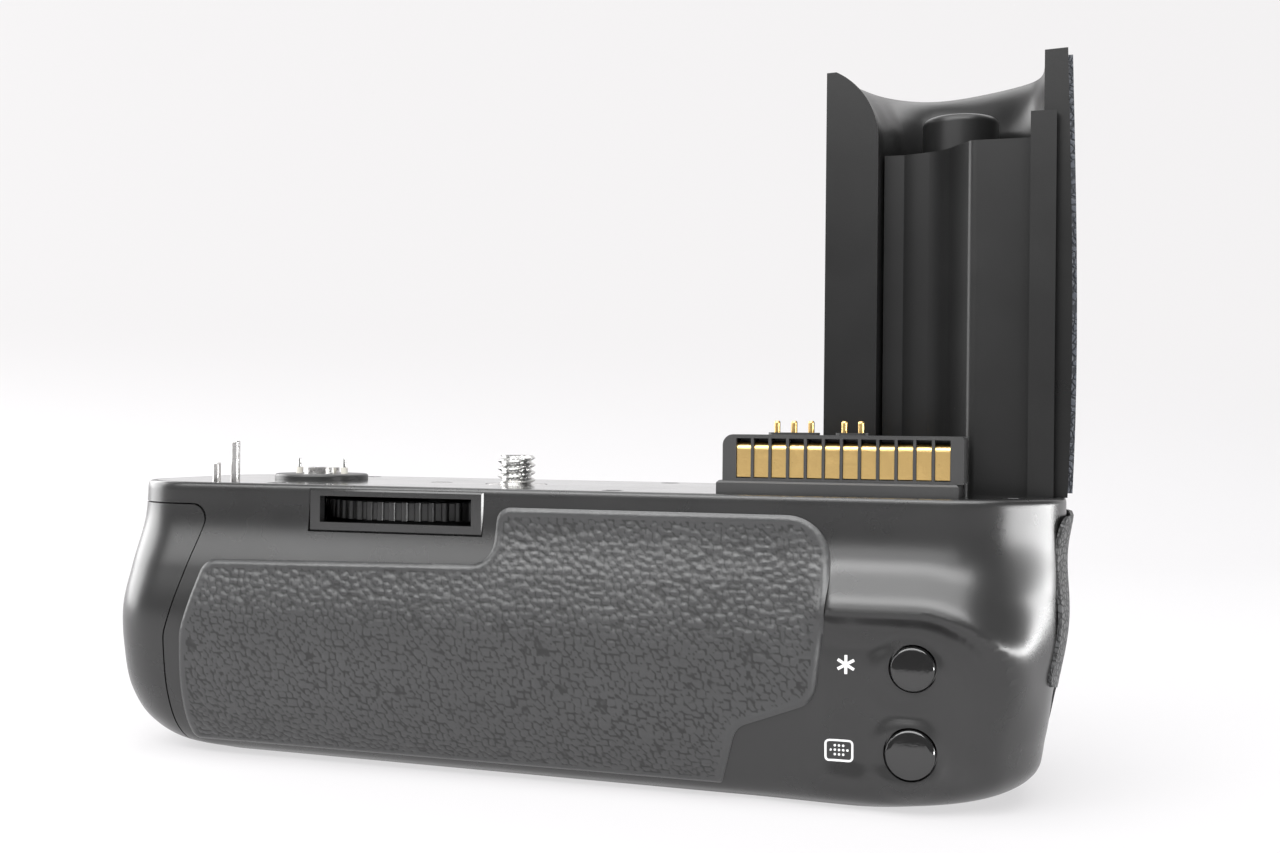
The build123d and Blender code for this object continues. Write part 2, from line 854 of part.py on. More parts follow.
power_pin_places = [(disc_x - power_pin_spread, disc_y), (disc_x + power_pin_spread, disc_y)]
with BuildPart() as contact_disc:
    with BuildSketch(Plane.XY):
        with Locations((disc_x, disc_y)):
            Circle(disc_radius)
    extrude(amount=disc_height)
    fillet(contact_disc.faces().sort_by(Axis.Z)[-1].edges(), disc_height * 0.45)
    with BuildSketch(Plane.XY):
        with Locations((disc_x, disc_y)):
            Circle(disc_stem_radius)
    extrude(amount=-disc_depth)
    with BuildSketch(Plane.XY.offset(disc_height)):
        with Locations((disc_x, disc_y)):
            Circle(contact_hub_radius + fit_gap)
            Circle(contact_hub_bore - fit_gap, mode=Mode.SUBTRACT)
    extrude(amount=-contact_hub_seat, mode=Mode.SUBTRACT)
    with BuildSketch(Plane.XY.offset(disc_height)):
        with Locations((disc_x, disc_y)):
            Circle(contact_hub_bore - fit_gap)
    extrude(amount=hub_core_height)
    with BuildSketch(Plane.XY.offset(disc_height)):
        with Locations(*power_pin_places):
            Circle(pin_bush_radius + fit_gap)
    extrude(amount=-disc_height, mode=Mode.SUBTRACT)
    with BuildSketch(Plane.XY):
        with Locations(*power_pin_places):
            Circle(power_pin_foot_radius + run_gap)
    extrude(amount=power_pin_bottom - power_pin_travel - face_gap, mode=Mode.SUBTRACT)
write(contact_disc.part, "contact_disc")

with BuildPart() as contact_hub:
    with BuildSketch(Plane.XY.offset(disc_height - contact_hub_seat)):
        with Locations((disc_x, disc_y)):
            Circle(contact_hub_radius)
            Circle(contact_hub_bore, mode=Mode.SUBTRACT)
    extrude(amount=contact_hub_top - disc_height + contact_hub_seat)
    with BuildSketch(Plane.XY.offset(contact_hub_top)):
        with Locations((disc_x, disc_y)):
            Rectangle(3 * contact_hub_radius, hub_slot_width)
            Rectangle(hub_slot_width, 3 * contact_hub_radius)
    extrude(amount=-hub_slot_depth, mode=Mode.SUBTRACT)
write(contact_hub.part, "contact_hub")


def power_pin(x, y):
    """Thin contact pin with a foot that its bush holds back."""
    with BuildPart() as pin:
        with BuildSketch(Plane.XY.offset(power_pin_bottom)):
            with Locations((x, y)):
                Circle(power_pin_radius)
        extrude(amount=power_pin_top - power_pin_bottom)
        with BuildSketch(Plane.XY.offset(power_pin_bottom)):
            with Locations((x, y)):
                Circle(power_pin_foot_radius)
        extrude(amount=power_pin_foot_height)
    return pin.part


def pin_bush(x, y):
    """Pale insulating sleeve round one contact pin."""
    with BuildPart() as bush:
        with BuildSketch(Plane.XY):
            with Locations((x, y)):
                Circle(pin_bush_radius)
                Circle(power_pin_radius + run_gap, mode=Mode.SUBTRACT)
        extrude(amount=pin_bush_top)
    return bush.part


write(Compound(children=[power_pin(x, y) for x, y in power_pin_places]), "power_pins")
write(Compound(children=[pin_bush(x, y) for x, y in power_pin_places]), "pin_bushes")

# Connector: base with its foot, block with slots, gold contacts and spring signal pins

slot_centres = [slot_first + (index + 0.5) * slot_pitch for index in range(slot_count)]
slot_back = connector_front + slot_depth
signal_bore_bottom = signal_pin_bottom - signal_pin_travel - face_gap
with BuildPart() as connector_base:
    with BuildSketch(Plane.XY):
        with Locations(((flange_left + flange_right) / 2, (flange_front + flange_back) / 2)):
            Rectangle(flange_right - flange_left, flange_back - flange_front)
    extrude(amount=flange_height)
    chamfer(connector_base.faces().sort_by(Axis.Z)[-1].edges(), flange_chamfer)
    with BuildSketch(Plane.XY):
        with Locations(((foot_left + foot_right) / 2, (foot_front + foot_back) / 2)):
            Rectangle(foot_right - foot_left, foot_back - foot_front)
    extrude(amount=-foot_depth)
write(connector_base.part, "connector_base")

with BuildPart() as connector_block:
    with BuildSketch(back_plane(connector_front + connector_depth)):
        with BuildLine():
            FilletPolyline(
                (connector_left, flange_height),
                (connector_right, flange_height),
                (connector_right, connector_top),
                (connector_left, connector_top),
                radius=[0.0, 0.0, 0.6, 1.6],
                close=True,
            )
        make_face()
    extrude(amount=connector_depth)
    # raised pads round the signal pins
    for first, last in (signal_pin_places[0:3:2], signal_pin_places[3:5]):
        with BuildSketch(Plane.XY.offset(connector_top)):
            with Locations(((first + last) / 2, signal_pin_y)):
                SlotCenterToCenter(last - first, signal_pad_width)
        extrude(amount=signal_pad_height)
    # slots that hold the contacts
    with BuildSketch(back_plane(connector_front)):
        for x in slot_centres:
            with Locations((x, (slot_bottom + slot_top) / 2)):
                Rectangle(slot_pitch - rib_width, slot_top - slot_bottom)
    extrude(amount=-slot_depth, mode=Mode.SUBTRACT)
    with BuildSketch(Plane.XY.offset(signal_bore_bottom)):
        with Locations(*[(x, signal_pin_y) for x in signal_pin_places]):
            Circle(signal_pin_radius + run_gap)
    extrude(amount=connector_top, mode=Mode.SUBTRACT)
write(connector_block.part, "connector_block")


def connector_contact(x):
    """Flat gold contact whose top end bends back into its slot."""
    with BuildPart() as contact:
        with BuildSketch(Plane.YZ.offset(x - contact_width / 2)):
            with BuildLine():
                FilletPolyline(
                    (connector_front + contact_inset, contact_bottom),
                    (connector_front + contact_inset, contact_top - contact_thickness / 2),
                    (slot_back - contact_thickness / 2 - fit_gap, contact_top - contact_thickness / 2),
                    (slot_back - contact_thickness / 2 - fit_gap, contact_bottom),
                    radius=contact_bend,
                )
            trace(line_width=contact_thickness)
        extrude(amount=contact_width)
    return contact.part


def signal_pin(x):
    """Gold spring pin with a round tip, standing in its bore."""
    with BuildPart() as pin:
        with BuildSketch(Plane.XY.offset(signal_pin_bottom)):
            with Locations((x, signal_pin_y)):
                Circle(signal_pin_radius)
        extrude(amount=signal_pin_top - signal_pin_bottom)
        fillet(pin.faces().sort_by(Axis.Z)[-1].edges(), signal_pin_radius * 0.7)
    return pin.part


write(Compound(children=[connector_contact(x) for x in slot_centres]), "connector_contacts")
write(Compound(children=[signal_pin(x) for x in signal_pin_places]), "signal_pins")

# Tower: outer wall that swells at half height, with an open back and a flared mouth at the top


def tower_points(shift, skin, depth):
    """Points round the tower's front, pushed out by swell and skin and drawn in by a share of the wall."""
    points = []
    for x, y, thickness in tower_curve:
        inset = depth * thickness - skin
        swell_x = x + shift * swell_right_share * (x - tower_left) / (tower_right - tower_left)
        swell_y = y * (1 + shift / tower_curve_reach)
        from_centre = Vector(swell_x - tower_centre_x, swell_y - tower_centre_y)
        drawn = from_centre - from_centre.normalized() * inset
        points.append((tower_centre_x + drawn.X, tower_centre_y + drawn.Y))
    return points


def tower_solid(skin):
    """Whole outer form of the tower, grown by a skin's thickness."""
    with BuildPart() as form:
        for level, swell in tower_swell:
            with BuildSketch(Plane.XY.offset(level)):
                with BuildLine():
                    curve = tower_points(swell, skin, 0.0)
                    left_back = (tower_left - skin, 0.0)
                    left_front = (tower_left + 0.5 - skin, curve[0][1] * 0.5)
                    right_back = (tower_right + skin + swell * swell_right_share, tower_back_right)
                    Line(left_back, left_front)
                    Spline(left_front, *curve, right_back, tangents=[(0.12, 1), (0.04, -1)])
                    Line(right_back, left_back)
                make_face()
        loft()
    return form.part


def tower_mouth_level(level, share):
    """Plan of the tower's hollow at one level, where the mouth has opened by a share of its flare."""
    left = tower_left + panel_width - share * (panel_width - tower_rim - 0.8)
    right = tower_right - strip_width
    depth = 1 - share * (1 - tower_rim / tower_curve[0][2])
    with BuildSketch(Plane.XY.offset(level)) as outline:
        with BuildLine():
            curve = tower_points(0.0, 0.0, depth)[:-1]
            start = (left, curve[0][1] * 0.5)
            Line((left, -far / 4), start)
            Spline(start, *curve, (right, 0.0), tangents=[(0.05, 1), (0, -1)])
            Line((right, 0.0), (right, -far / 4))
            Line((right, -far / 4), (left, -far / 4))
        make_face()
    return outline.sketch


mouth_bottom = tower_height - scoop_depth
mouth_radius = scoop_depth / math.sin(math.radians(mouth_angle))
mouth_levels = []
for step in range(mouth_steps + 1):
    turn = math.radians(mouth_angle * step / mouth_steps)
    share = (1 - math.cos(turn)) / (1 - math.cos(math.radians(mouth_angle)))
    mouth_levels.append(tower_mouth_level(mouth_bottom + mouth_radius * math.sin(turn), share))
tower_hollow = tower_mouth_level(tower_floor, 0.0)
tower_form = tower_solid(0.0)
tower_skin_form = tower_solid(tower_skin)

with BuildPart() as tower_shell:
    add(tower_form)
    add(tower_hollow)
    extrude(amount=tower_height, mode=Mode.SUBTRACT)
    loft(mouth_levels, mode=Mode.SUBTRACT)
    # the floor stops in line with the liner, so the camera's end has room behind it
    with BuildSketch(Plane.XY):
        with Locations(((tower_left + panel_width + tower_right - strip_width) / 2, -far / 4)):
            Rectangle(tower_right - strip_width - tower_left - panel_width, far / 2 + 2 * floor_start)
    extrude(amount=tower_floor, mode=Mode.SUBTRACT)
    with BuildSketch(Plane.XY):
        with Locations(*tower_screw_places):
            Circle(screw_shank_radius + fit_gap)
    extrude(amount=tower_floor, mode=Mode.SUBTRACT)
write(tower_shell.part, "tower_shell")

with BuildPart() as tower_leather:
    add(tower_skin_form)
    add(tower_form, mode=Mode.SUBTRACT)
    with BuildSketch(Plane.XY.offset(leather_margin)):
        with BuildLine():
            Polyline(
                (tower_left + leather_left_margin, leather_front),
                (tower_left + leather_left_margin, far),
                (far, far),
                (far, tower_leather_back),
                (tower_right - 2 * tower_skin, tower_leather_back),
                (tower_right - 2 * tower_skin, leather_front),
                close=True,
            )
        make_face()
    extrude(amount=tower_height - 2 * leather_margin, mode=Mode.INTERSECT)
write(tower_leather.part, "tower_leather")

# Tower liner: the stepped inner wall with its rib, and the round post behind it

with BuildPart() as tower_liner:
    with BuildSketch(Plane.XY):
        with BuildLine():
            FilletPolyline(*liner_centre_line, radius=liner_bends)
        trace(line_width=liner_wall)
    extrude(amount=liner_top)
    with BuildSketch(Plane.XY):
        with BuildLine():
            Polyline(
                (rib_left, rib_front),
                (rib_left, rib_back),
                (rib_right, rib_back),
                (rib_right, rib_back + rib_lip),
                (rib_bar_right, rib_back + rib_lip),
                (rib_bar_right, rib_front),
                close=True,
            )
        make_face()
    extrude(amount=rib_top)
write(tower_liner.part, "tower_liner")

with BuildPart() as inner_post:
    with BuildSketch(Plane.XY.offset(tower_floor)):
        with Locations((post_x, post_y)):
            Circle(post_radius)
    extrude(amount=post_top - tower_floor)
    fillet(inner_post.faces().sort_by(Axis.Z)[-1].edges(), post_rounding)
    with BuildSketch(Plane.XY.offset(tower_floor)):
        with Locations((post_x, post_y)):
            Circle(post_radius - post_wall)
    extrude(amount=post_top - tower_floor - post_wall, mode=Mode.SUBTRACT)
write(inner_post.part, "inner_post")


def tower_screw(x, y):
    """Pan-head screw from under the top plate into the tower's floor."""
    with BuildPart() as screw:
        with BuildSketch(Plane.XY.offset(-plate_thickness - 0.05)):
            with Locations((x, y)):
                Circle(screw_head_radius)
        extrude(amount=-screw_head_depth)
        with BuildSketch(Plane.XY.offset(-plate_thickness - 0.05)):
            with Locations((x, y)):
                Circle(screw_shank_radius)
        extrude(amount=plate_thickness + tower_floor - 0.2)
    return screw.part


write(Compound(children=[tower_screw(x, y) for x, y in tower_screw_places]), "tower_screws")

# Leather skins on the body

with BuildPart() as rear_leather:
    add(body_skin.part)
    add(body_solid.part, mode=Mode.SUBTRACT)
    with BuildSketch(back_plane(-2.0)):
        with BuildLine():
            FilletPolyline(*rear_leather_points, radius=rear_leather_radii, close=True)
        make_face()
    extrude(amount=leather_reach, mode=Mode.INTERSECT)
write(rear_leather.part, "rear_leather")

with BuildPart() as front_leather:
    add(body_skin.part)
    add(body_solid.part, mode=Mode.SUBTRACT)
    with BuildSketch(back_plane(4.0)):
        with BuildLine():
            FilletPolyline(*front_leather_points, radius=front_leather_radii, close=True)
        make_face()
    extrude(amount=-leather_reach, mode=Mode.INTERSECT)
write(front_leather.part, "front_leather")

with BuildPart() as grip_leather:
    add(body_skin.part)
    add(body_solid.part, mode=Mode.SUBTRACT)
    split(bisect_by=control_face.offset(-1.0), keep=Keep.BOTTOM)
    with BuildSketch(Plane.YZ.offset(grip_leather_left)):
        with BuildLine():
            FilletPolyline(*grip_leather_points, radius=grip_leather_radii, close=True)
        make_face()
    extrude(amount=leather_reach, mode=Mode.INTERSECT)
write(grip_leather.part, "grip_leather")


# Thumb buttons, their switches and their board

def thumb_button(x, z, radius, face):
    """Round button with a rounded rim and a flange behind the wall."""
    inner = back_plane(face + button_length - button_sink)
    with BuildPart() as button:
        with BuildSketch(inner):
            with Locations((x, z)):
                Circle(radius)
        extrude(amount=button_length)
        fillet(button.faces().sort_by(Axis.Y)[0].edges(), button_rounding)
        with BuildSketch(inner):
            with Locations((x, z)):
                Circle(radius + button_flange)
        extrude(amount=button_flange_thickness)
    return button.part


def push_switch(plane, size, reach):
    """Square push switch with a round plunger, reaching out from the given plane."""
    with BuildPart() as switch:
        with BuildSketch(plane):
            RectangleRounded(size, size, 0.4)
        extrude(amount=reach * 0.6)
        with BuildSketch(plane):
            Circle(plunger_radius)
        extrude(amount=reach)
    return switch.part


write(thumb_button(*thumb_buttons[0]), "upper_thumb_button")
write(thumb_button(*thumb_buttons[1]), "lower_thumb_button")
thumb_switches = []
for x, z, radius, face in thumb_buttons:
    switch_seat = Plane(origin=(x, thumb_board_front - fit_gap, z), x_dir=(1, 0, 0), z_dir=(0, -1, 0))
    button_end = face + button_length - button_sink + button_travel
    switch_reach = thumb_board_front - fit_gap - button_end - face_gap
    thumb_switches.append(push_switch(switch_seat, switch_size, switch_reach))
write(Compound(children=thumb_switches), "thumb_switches")

thumb_board_x = (thumb_board_left + thumb_board_right) / 2
thumb_board_z = (thumb_board_bottom + thumb_board_top) / 2
with BuildPart() as thumb_board:
    with BuildSketch(back_plane(board_back)):
        with Locations((thumb_board_x, thumb_board_z)):
            RectangleRounded(thumb_board_right - thumb_board_left, thumb_board_top - thumb_board_bottom, 1.0)
        with Locations(*thumb_post_places):
            Circle(board_screw_radius + fit_gap, mode=Mode.SUBTRACT)
    extrude(amount=board_thickness - fit_gap)
write(thumb_board.part, "thumb_board")


def board_screw(x, z):
    """Screw that holds the thumb button board on its post."""
    seat = back_plane(board_back + fit_gap)
    with BuildPart() as screw:
        with BuildSketch(seat):
            with Locations((x, z)):
                Circle(board_screw_radius)
        extrude(amount=board_screw_length)
        with BuildSketch(seat):
            with Locations((x, z)):
                Circle(board_screw_head)
        extrude(amount=-screw_head_depth)
    return screw.part


write(Compound(children=[board_screw(x, z) for x, z in thumb_post_places]), "board_screws")

# Controls on the slanted face: shutter button, collar, power lever, dial and small button

outward = Axis(control_face.origin, control_normal)
with BuildPart() as shutter_button:
    with BuildSketch(control_at(0, -shutter_rise, -shutter_depth)):
        Circle(shutter_radius)
    extrude(amount=shutter_depth + shutter_proud)
    fillet(shutter_button.faces().sort_by(outward)[-1].edges(), shutter_rounding)
    with BuildSketch(control_at(0, -shutter_rise, -shutter_depth)):
        Circle(shutter_radius + slide_gap + button_flange)
    extrude(amount=button_flange_thickness)
write(shutter_button.part, "shutter_button")

with BuildPart() as shutter_collar:
    with BuildSketch(control_at(0, -shutter_rise, fit_gap)):
        Circle(collar_radius)
        Circle(shutter_radius + slide_gap, mode=Mode.SUBTRACT)
    extrude(amount=collar_height)
    chamfer(shutter_collar.faces().sort_by(outward)[-1].edges(), 0.25)
write(shutter_collar.part, "shutter_collar")

with BuildPart() as power_lever:
    with BuildSketch(control_at(0, -shutter_rise, face_gap)):
        Circle(lever_radius)
        with Locations((0, lever_radius)):
            RectangleRounded(lever_tab_width, 2 * lever_tab_reach, 0.8)
        Circle(collar_radius + run_gap, mode=Mode.SUBTRACT)
    extrude(amount=lever_height)
    chamfer(power_lever.faces().sort_by(outward)[-1].outer_wire().edges(), 0.2)
write(power_lever.part, "power_lever")

with BuildPart() as control_dial:
    with BuildSketch(dial_plane):
        Circle(dial_radius)
        with PolarLocations(dial_radius + dial_knurl_outset, dial_knurls):
            Circle(dial_knurl_radius, mode=Mode.SUBTRACT)
        Circle(dial_axle_radius + run_gap, mode=Mode.SUBTRACT)
    extrude(amount=dial_width)
write(control_dial.part, "control_dial")

axle_overhang = slide_gap + cheek_thickness
with BuildPart() as dial_axle:
    with BuildSketch(dial_plane.offset(-axle_overhang)):
        Circle(dial_axle_radius)
    extrude(amount=dial_width + 2 * axle_overhang)
write(dial_axle.part, "dial_axle")

with BuildPart() as small_button:
    with BuildSketch(control_at(small_button_side, small_button_drop, -shutter_depth)):
        Circle(small_button_radius)
    extrude(amount=shutter_depth + small_button_proud)
    fillet(small_button.faces().sort_by(outward)[-1].edges(), small_button_rounding)
    with BuildSketch(control_at(small_button_side, small_button_drop, -shutter_depth)):
        Circle(small_button_radius + slide_gap + 0.5 * button_flange)
    extrude(amount=button_flange_thickness)
write(small_button.part, "front_small_button")

with BuildPart() as control_board:
    with BuildSketch(control_at(0, 0, -control_board_drop - board_thickness)):
        with Locations((control_board_side, control_board_height / 2 - control_board_drop_below)):
            Rectangle(control_board_width, control_board_height)
        with Locations(control_board_ear_place):
            Rectangle(*control_board_ear)
    extrude(amount=board_thickness)
write(control_board.part, "control_board")

shutter_reach = control_board_drop - fit_gap - shutter_depth - shutter_travel - face_gap
small_reach = control_board_drop - fit_gap - shutter_depth - small_button_travel - face_gap
shutter_seat = control_at(0, -shutter_rise, -control_board_drop + fit_gap)
small_seat = control_at(small_button_side, small_button_drop, -control_board_drop + fit_gap)
control_switches = [
    push_switch(shutter_seat, switch_size, shutter_reach),
    push_switch(small_seat, small_switch_size, small_reach),
]
write(Compound(children=control_switches), "control_switches")

# Battery bay sleeve with its feet and the tongue that the magazine's bolt locks behind

bay_height = bay_top - bay_bottom
bay_inner_width = bay_width - 2 * bay_wall
bay_inner_height = bay_height - 2 * bay_wall
bay_centre_z = (bay_top + bay_bottom) / 2
bay_foot_length = bay_bottom + body_height - floor_wall - fit_gap
with BuildPart() as battery_bay:
    with BuildSketch(Plane.YZ.offset(bay_left)):
        with Locations((bay_centre_y, bay_centre_z)):
            RectangleRounded(bay_width, bay_height, bay_corner)
            RectangleRounded(bay_inner_width, bay_inner_height, bay_corner - bay_wall, mode=Mode.SUBTRACT)
    extrude(amount=bay_right - bay_end_wall - bay_left)
    with BuildSketch(Plane.YZ.offset(bay_right - bay_end_wall)):
        with Locations((bay_centre_y, bay_centre_z)):
            RectangleRounded(bay_width, bay_height, bay_corner)
        with Locations(*bay_contact_places):
            Circle(bay_contact_radius + fit_gap, mode=Mode.SUBTRACT)
    extrude(amount=bay_end_wall)
    with BuildSketch(Plane.XY.offset(bay_bottom + bay_wall / 2)):
        with Locations(*bay_foot_places):
            Circle(bay_foot_radius)
    extrude(amount=-bay_foot_length - bay_wall / 2)
    with BuildSketch(Plane.XY.offset(bay_bottom + bay_wall)):
        with Locations(*bay_foot_places):
            Circle(screw_shank_radius + fit_gap)
    extrude(amount=-bay_foot_length - bay_wall, mode=Mode.SUBTRACT)
    with BuildSketch(Plane.XY.offset(bay_top - bay_wall)):
        with Locations((bay_left - tongue_reach / 2 + 0.5, bay_centre_y)):
            Rectangle(tongue_reach + 1.0, tongue_width)
        with Locations((bolt_x, bay_centre_y)):
            Rectangle(bolt_thickness + 1.2, tongue_slot, mode=Mode.SUBTRACT)
    extrude(amount=bay_wall)
write(battery_bay.part, "battery_bay")


def bay_contact(y, z):
    """Contact pin in the sleeve's end wall, with a collar behind the wall."""
    start = magazine_right + face_gap
    with BuildPart() as contact:
        with BuildSketch(Plane.YZ.offset(start)):
            with Locations((y, z)):
                Circle(bay_contact_radius)
        extrude(amount=bay_right - start + 1.5)
        fillet(contact.faces().sort_by(Axis.X)[0].edges(), 0.6)
        with BuildSketch(Plane.YZ.offset(bay_right)):
            with Locations((y, z)):
                Circle(bay_contact_radius + 0.8)
        extrude(amount=1.0)
    return contact.part


write(Compound(children=[bay_contact(y, z) for y, z in bay_contact_places]), "bay_contacts")

# Magazine frame, cells and cell contacts

frame_size = 2 * cell_radius + cell_pitch
first_cell_start = magazine_left + frame_plate + spring_length
magazine_middle = first_cell_start + cell_length + cell_gap / 2
plate_places = [
    (magazine_left, frame_plate),
    (magazine_middle - middle_plate / 2, middle_plate),
    (magazine_right - frame_plate, frame_plate),
]
with BuildPart() as magazine_frame:
    for start, thickness in plate_places:
        with BuildSketch(Plane.YZ.offset(start)):
            with Locations((bay_centre_y, bay_centre_z)):
                RectangleRounded(frame_size, frame_size, frame_corner)
        extrude(amount=thickness)
    with BuildSketch(Plane.YZ.offset(magazine_left)):
        with Locations((bay_centre_y, bay_centre_z)):
            with PolarLocations(frame_size / 2 - rail_height / 2, 4):
                Rectangle(rail_height, rail_width)
    extrude(amount=magazine_right - magazine_left)
write(magazine_frame.part, "magazine_frame")

cell_places = []
for side in (-0.5, 0.5):
    for level in (-0.5, 0.5):
        cell_places.append((bay_centre_y + side * cell_pitch, bay_centre_z + level * cell_pitch))


def battery_cell(start, y, z, turned):
    """One round cell with its raised positive end."""
    body_start = start + (cell_nub_length if turned else 0.0)
    nub_start = start if turned else start + cell_length - cell_nub_length
    with BuildPart() as cell:
        with BuildSketch(Plane.YZ.offset(body_start)):
            with Locations((y, z)):
                Circle(cell_radius)
        extrude(amount=cell_length - cell_nub_length)
        fillet(cell.edges().filter_by(GeomType.CIRCLE), 0.5)
        with BuildSketch(Plane.YZ.offset(nub_start)):
            with Locations((y, z)):
                Circle(cell_nub_radius)
        extrude(amount=cell_nub_length)
    return cell.part


def cell_contact(start, y, z, direction):
    """Leaf contact with a raised button against the end of a cell."""
    with BuildPart() as contact:
        with BuildSketch(Plane.YZ.offset(start)):
            with Locations((y, z)):
                RectangleRounded(contact_leaf, contact_leaf, 1.5)
        extrude(amount=direction * leaf_thickness)
        with BuildSketch(Plane.YZ.offset(start + direction * leaf_thickness)):
            with Locations((y, z)):
                Circle(cell_nub_radius)
        extrude(amount=direction * (spring_length - leaf_thickness - face_gap))
    return contact.part


cells = []
cell_contacts = []
for index, (y, z) in enumerate(cell_places):
    turned = index in (0, 3)
    cells.append(battery_cell(first_cell_start, y, z, turned))
    cells.append(battery_cell(magazine_middle + cell_gap / 2, y, z, turned))
    cell_contacts.append(cell_contact(magazine_left + frame_plate + fit_gap, y, z, 1))
    cell_contacts.append(cell_contact(magazine_right - frame_plate - fit_gap, y, z, -1))
write(Compound(children=cells), "battery_cells")
write(Compound(children=cell_contacts), "cell_contacts")

# Magazine end cover, the left end of the body, with a recess for the lock knob

with BuildPart() as cover_hollow:
    add(body_hollow.part)
    with BuildSketch(Plane.XY.offset(seam_top - wall)):
        Rectangle(2 * far, 2 * far)
    extrude(amount=-far, mode=Mode.INTERSECT)

with BuildPart() as magazine_end_cover:
    add(body_solid.part)
    add(seam_region(0.0), mode=Mode.INTERSECT)
    add(cover_hollow.part, mode=Mode.SUBTRACT)
    # boss behind the knob and posts that carry the magazine frame
    with BuildSketch(Plane.YZ.offset(knob_inner - knob_wall)):
        with Locations((bay_centre_y, knob_z)):
            Circle(boss_radius)
    extrude(amount=2 * knob_wall)
    with BuildSketch(Plane.YZ.offset(magazine_left - fit_gap)):
        with Locations(*cover_post_places):
            Circle(cover_post_radius)
    extrude(amount=-cover_post_reach)
    add(body_solid.part, mode=Mode.INTERSECT)
    with BuildSketch(Plane.YZ.offset(knob_inner)):
        with Locations((bay_centre_y, knob_z)):
            Circle(knob_radius + slide_gap)
    extrude(amount=-cut_reach, mode=Mode.SUBTRACT)
    with BuildSketch(Plane.YZ.offset(knob_inner)):
        with Locations((bay_centre_y, knob_z)):
            Circle(knob_shaft_radius + run_gap)
    extrude(amount=cut_reach, mode=Mode.SUBTRACT)
write(magazine_end_cover.part, "magazine_end_cover")

knob_face = knob_inner - face_gap
bolt_end = bolt_x + bolt_thickness / 2
with BuildPart() as lock_knob:
    with BuildSketch(Plane.YZ.offset(knob_face)):
        with Locations((bay_centre_y, knob_z)):
            Circle(knob_radius)
    extrude(amount=-knob_thickness)
    chamfer(lock_knob.faces().sort_by(Axis.X)[0].edges(), knob_chamfer)
    with BuildSketch(Plane.YZ.offset(knob_face - knob_thickness)):
        with Locations((bay_centre_y, knob_z)):
            Circle(knob_radius - knob_rim)
            Rectangle(2 * knob_radius, knob_bar, mode=Mode.SUBTRACT)
    extrude(amount=knob_pocket, mode=Mode.SUBTRACT)
    with BuildSketch(Plane.YZ.offset(knob_face)):
        with Locations((bay_centre_y, knob_z)):
            Circle(knob_shaft_radius)
    extrude(amount=bolt_end - knob_face)
write(lock_knob.part, "lock_knob")

with BuildPart() as lock_bolt:
    with BuildSketch(Plane.YZ.offset(bolt_end - bolt_thickness)):
        with Locations((bay_centre_y, knob_z)):
            Circle(knob_shaft_radius + bolt_hub)
        with Locations((bay_centre_y + bolt_length / 2, knob_z)):
            Rectangle(bolt_length, bolt_width)
        with Locations((bay_centre_y, knob_z)):
            Circle(knob_shaft_radius + fit_gap, mode=Mode.SUBTRACT)
    extrude(amount=bolt_thickness)
write(lock_bolt.part, "lock_bolt")

# Tripod socket and the screws that hold the bay from below

with BuildPart() as tripod_socket:
    with BuildSketch(Plane.XY.offset(-body_height)):
        Circle(socket_radius)
    extrude(amount=socket_height)
    with BuildSketch(Plane.XY.offset(-body_height)):
        Circle(socket_bore_radius)
    extrude(amount=socket_depth, mode=Mode.SUBTRACT)
write(tripod_socket.part, "tripod_socket")

bottom_screws = []
for x, y in bay_foot_places:
    bottom_screws.append(countersunk_screw(x, y, -body_height + 0.05, 1, bottom_screw_length))
write(Compound(children=bottom_screws), "bottom_screws")

# Main board and its parts

main_board_bottom = bay_top + face_gap
main_board_x = (main_board_left + main_board_right) / 2
with BuildPart() as main_board:
    with BuildSketch(Plane.XY.offset(main_board_bottom)):
        with Locations((main_board_x, bay_centre_y)):
            RectangleRounded(main_board_right - main_board_left, main_board_width, 1.5)
    extrude(amount=board_thickness)
write(main_board.part, "main_board")

board_top = main_board_bottom + board_thickness + fit_gap
board_parts = []
for x, y, length, width, height in board_boxes:
    with BuildPart() as block:
        with BuildSketch(Plane.XY.offset(board_top)):
            with Locations((x, y)):
                RectangleRounded(length, width, 0.4)
        extrude(amount=height)
    board_parts.append(block.part)
for x, y, radius, height in board_cans:
    with BuildPart() as can:
        with BuildSketch(Plane.XY.offset(board_top)):
            with Locations((x, y)):
                Circle(radius)
        extrude(amount=height)
        fillet(can.faces().sort_by(Axis.Z)[-1].edges(), 0.4)
    board_parts.append(can.part)
write(Compound(children=board_parts), "board_parts")
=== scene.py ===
import math

import bmesh
import bpy
import numpy as np
from bpy.props import FloatProperty, IntProperty, PointerProperty
from mathutils import Matrix, Vector, kdtree


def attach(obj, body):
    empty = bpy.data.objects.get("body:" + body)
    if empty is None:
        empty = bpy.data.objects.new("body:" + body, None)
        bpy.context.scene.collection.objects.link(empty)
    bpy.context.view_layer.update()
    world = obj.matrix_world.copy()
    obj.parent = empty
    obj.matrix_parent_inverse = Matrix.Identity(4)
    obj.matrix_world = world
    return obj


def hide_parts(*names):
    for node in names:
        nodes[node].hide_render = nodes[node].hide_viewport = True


bl_info = {
    "name": "Camera power booster looks",
    "version": (1, 0, 0),
    "blender": (4, 5, 0),
    "location": "3D View > Sidebar > Booster",
    "description": "Builds the visible shells, leathers, screws and finishes of a camera power booster",
    "category": "Object",
}

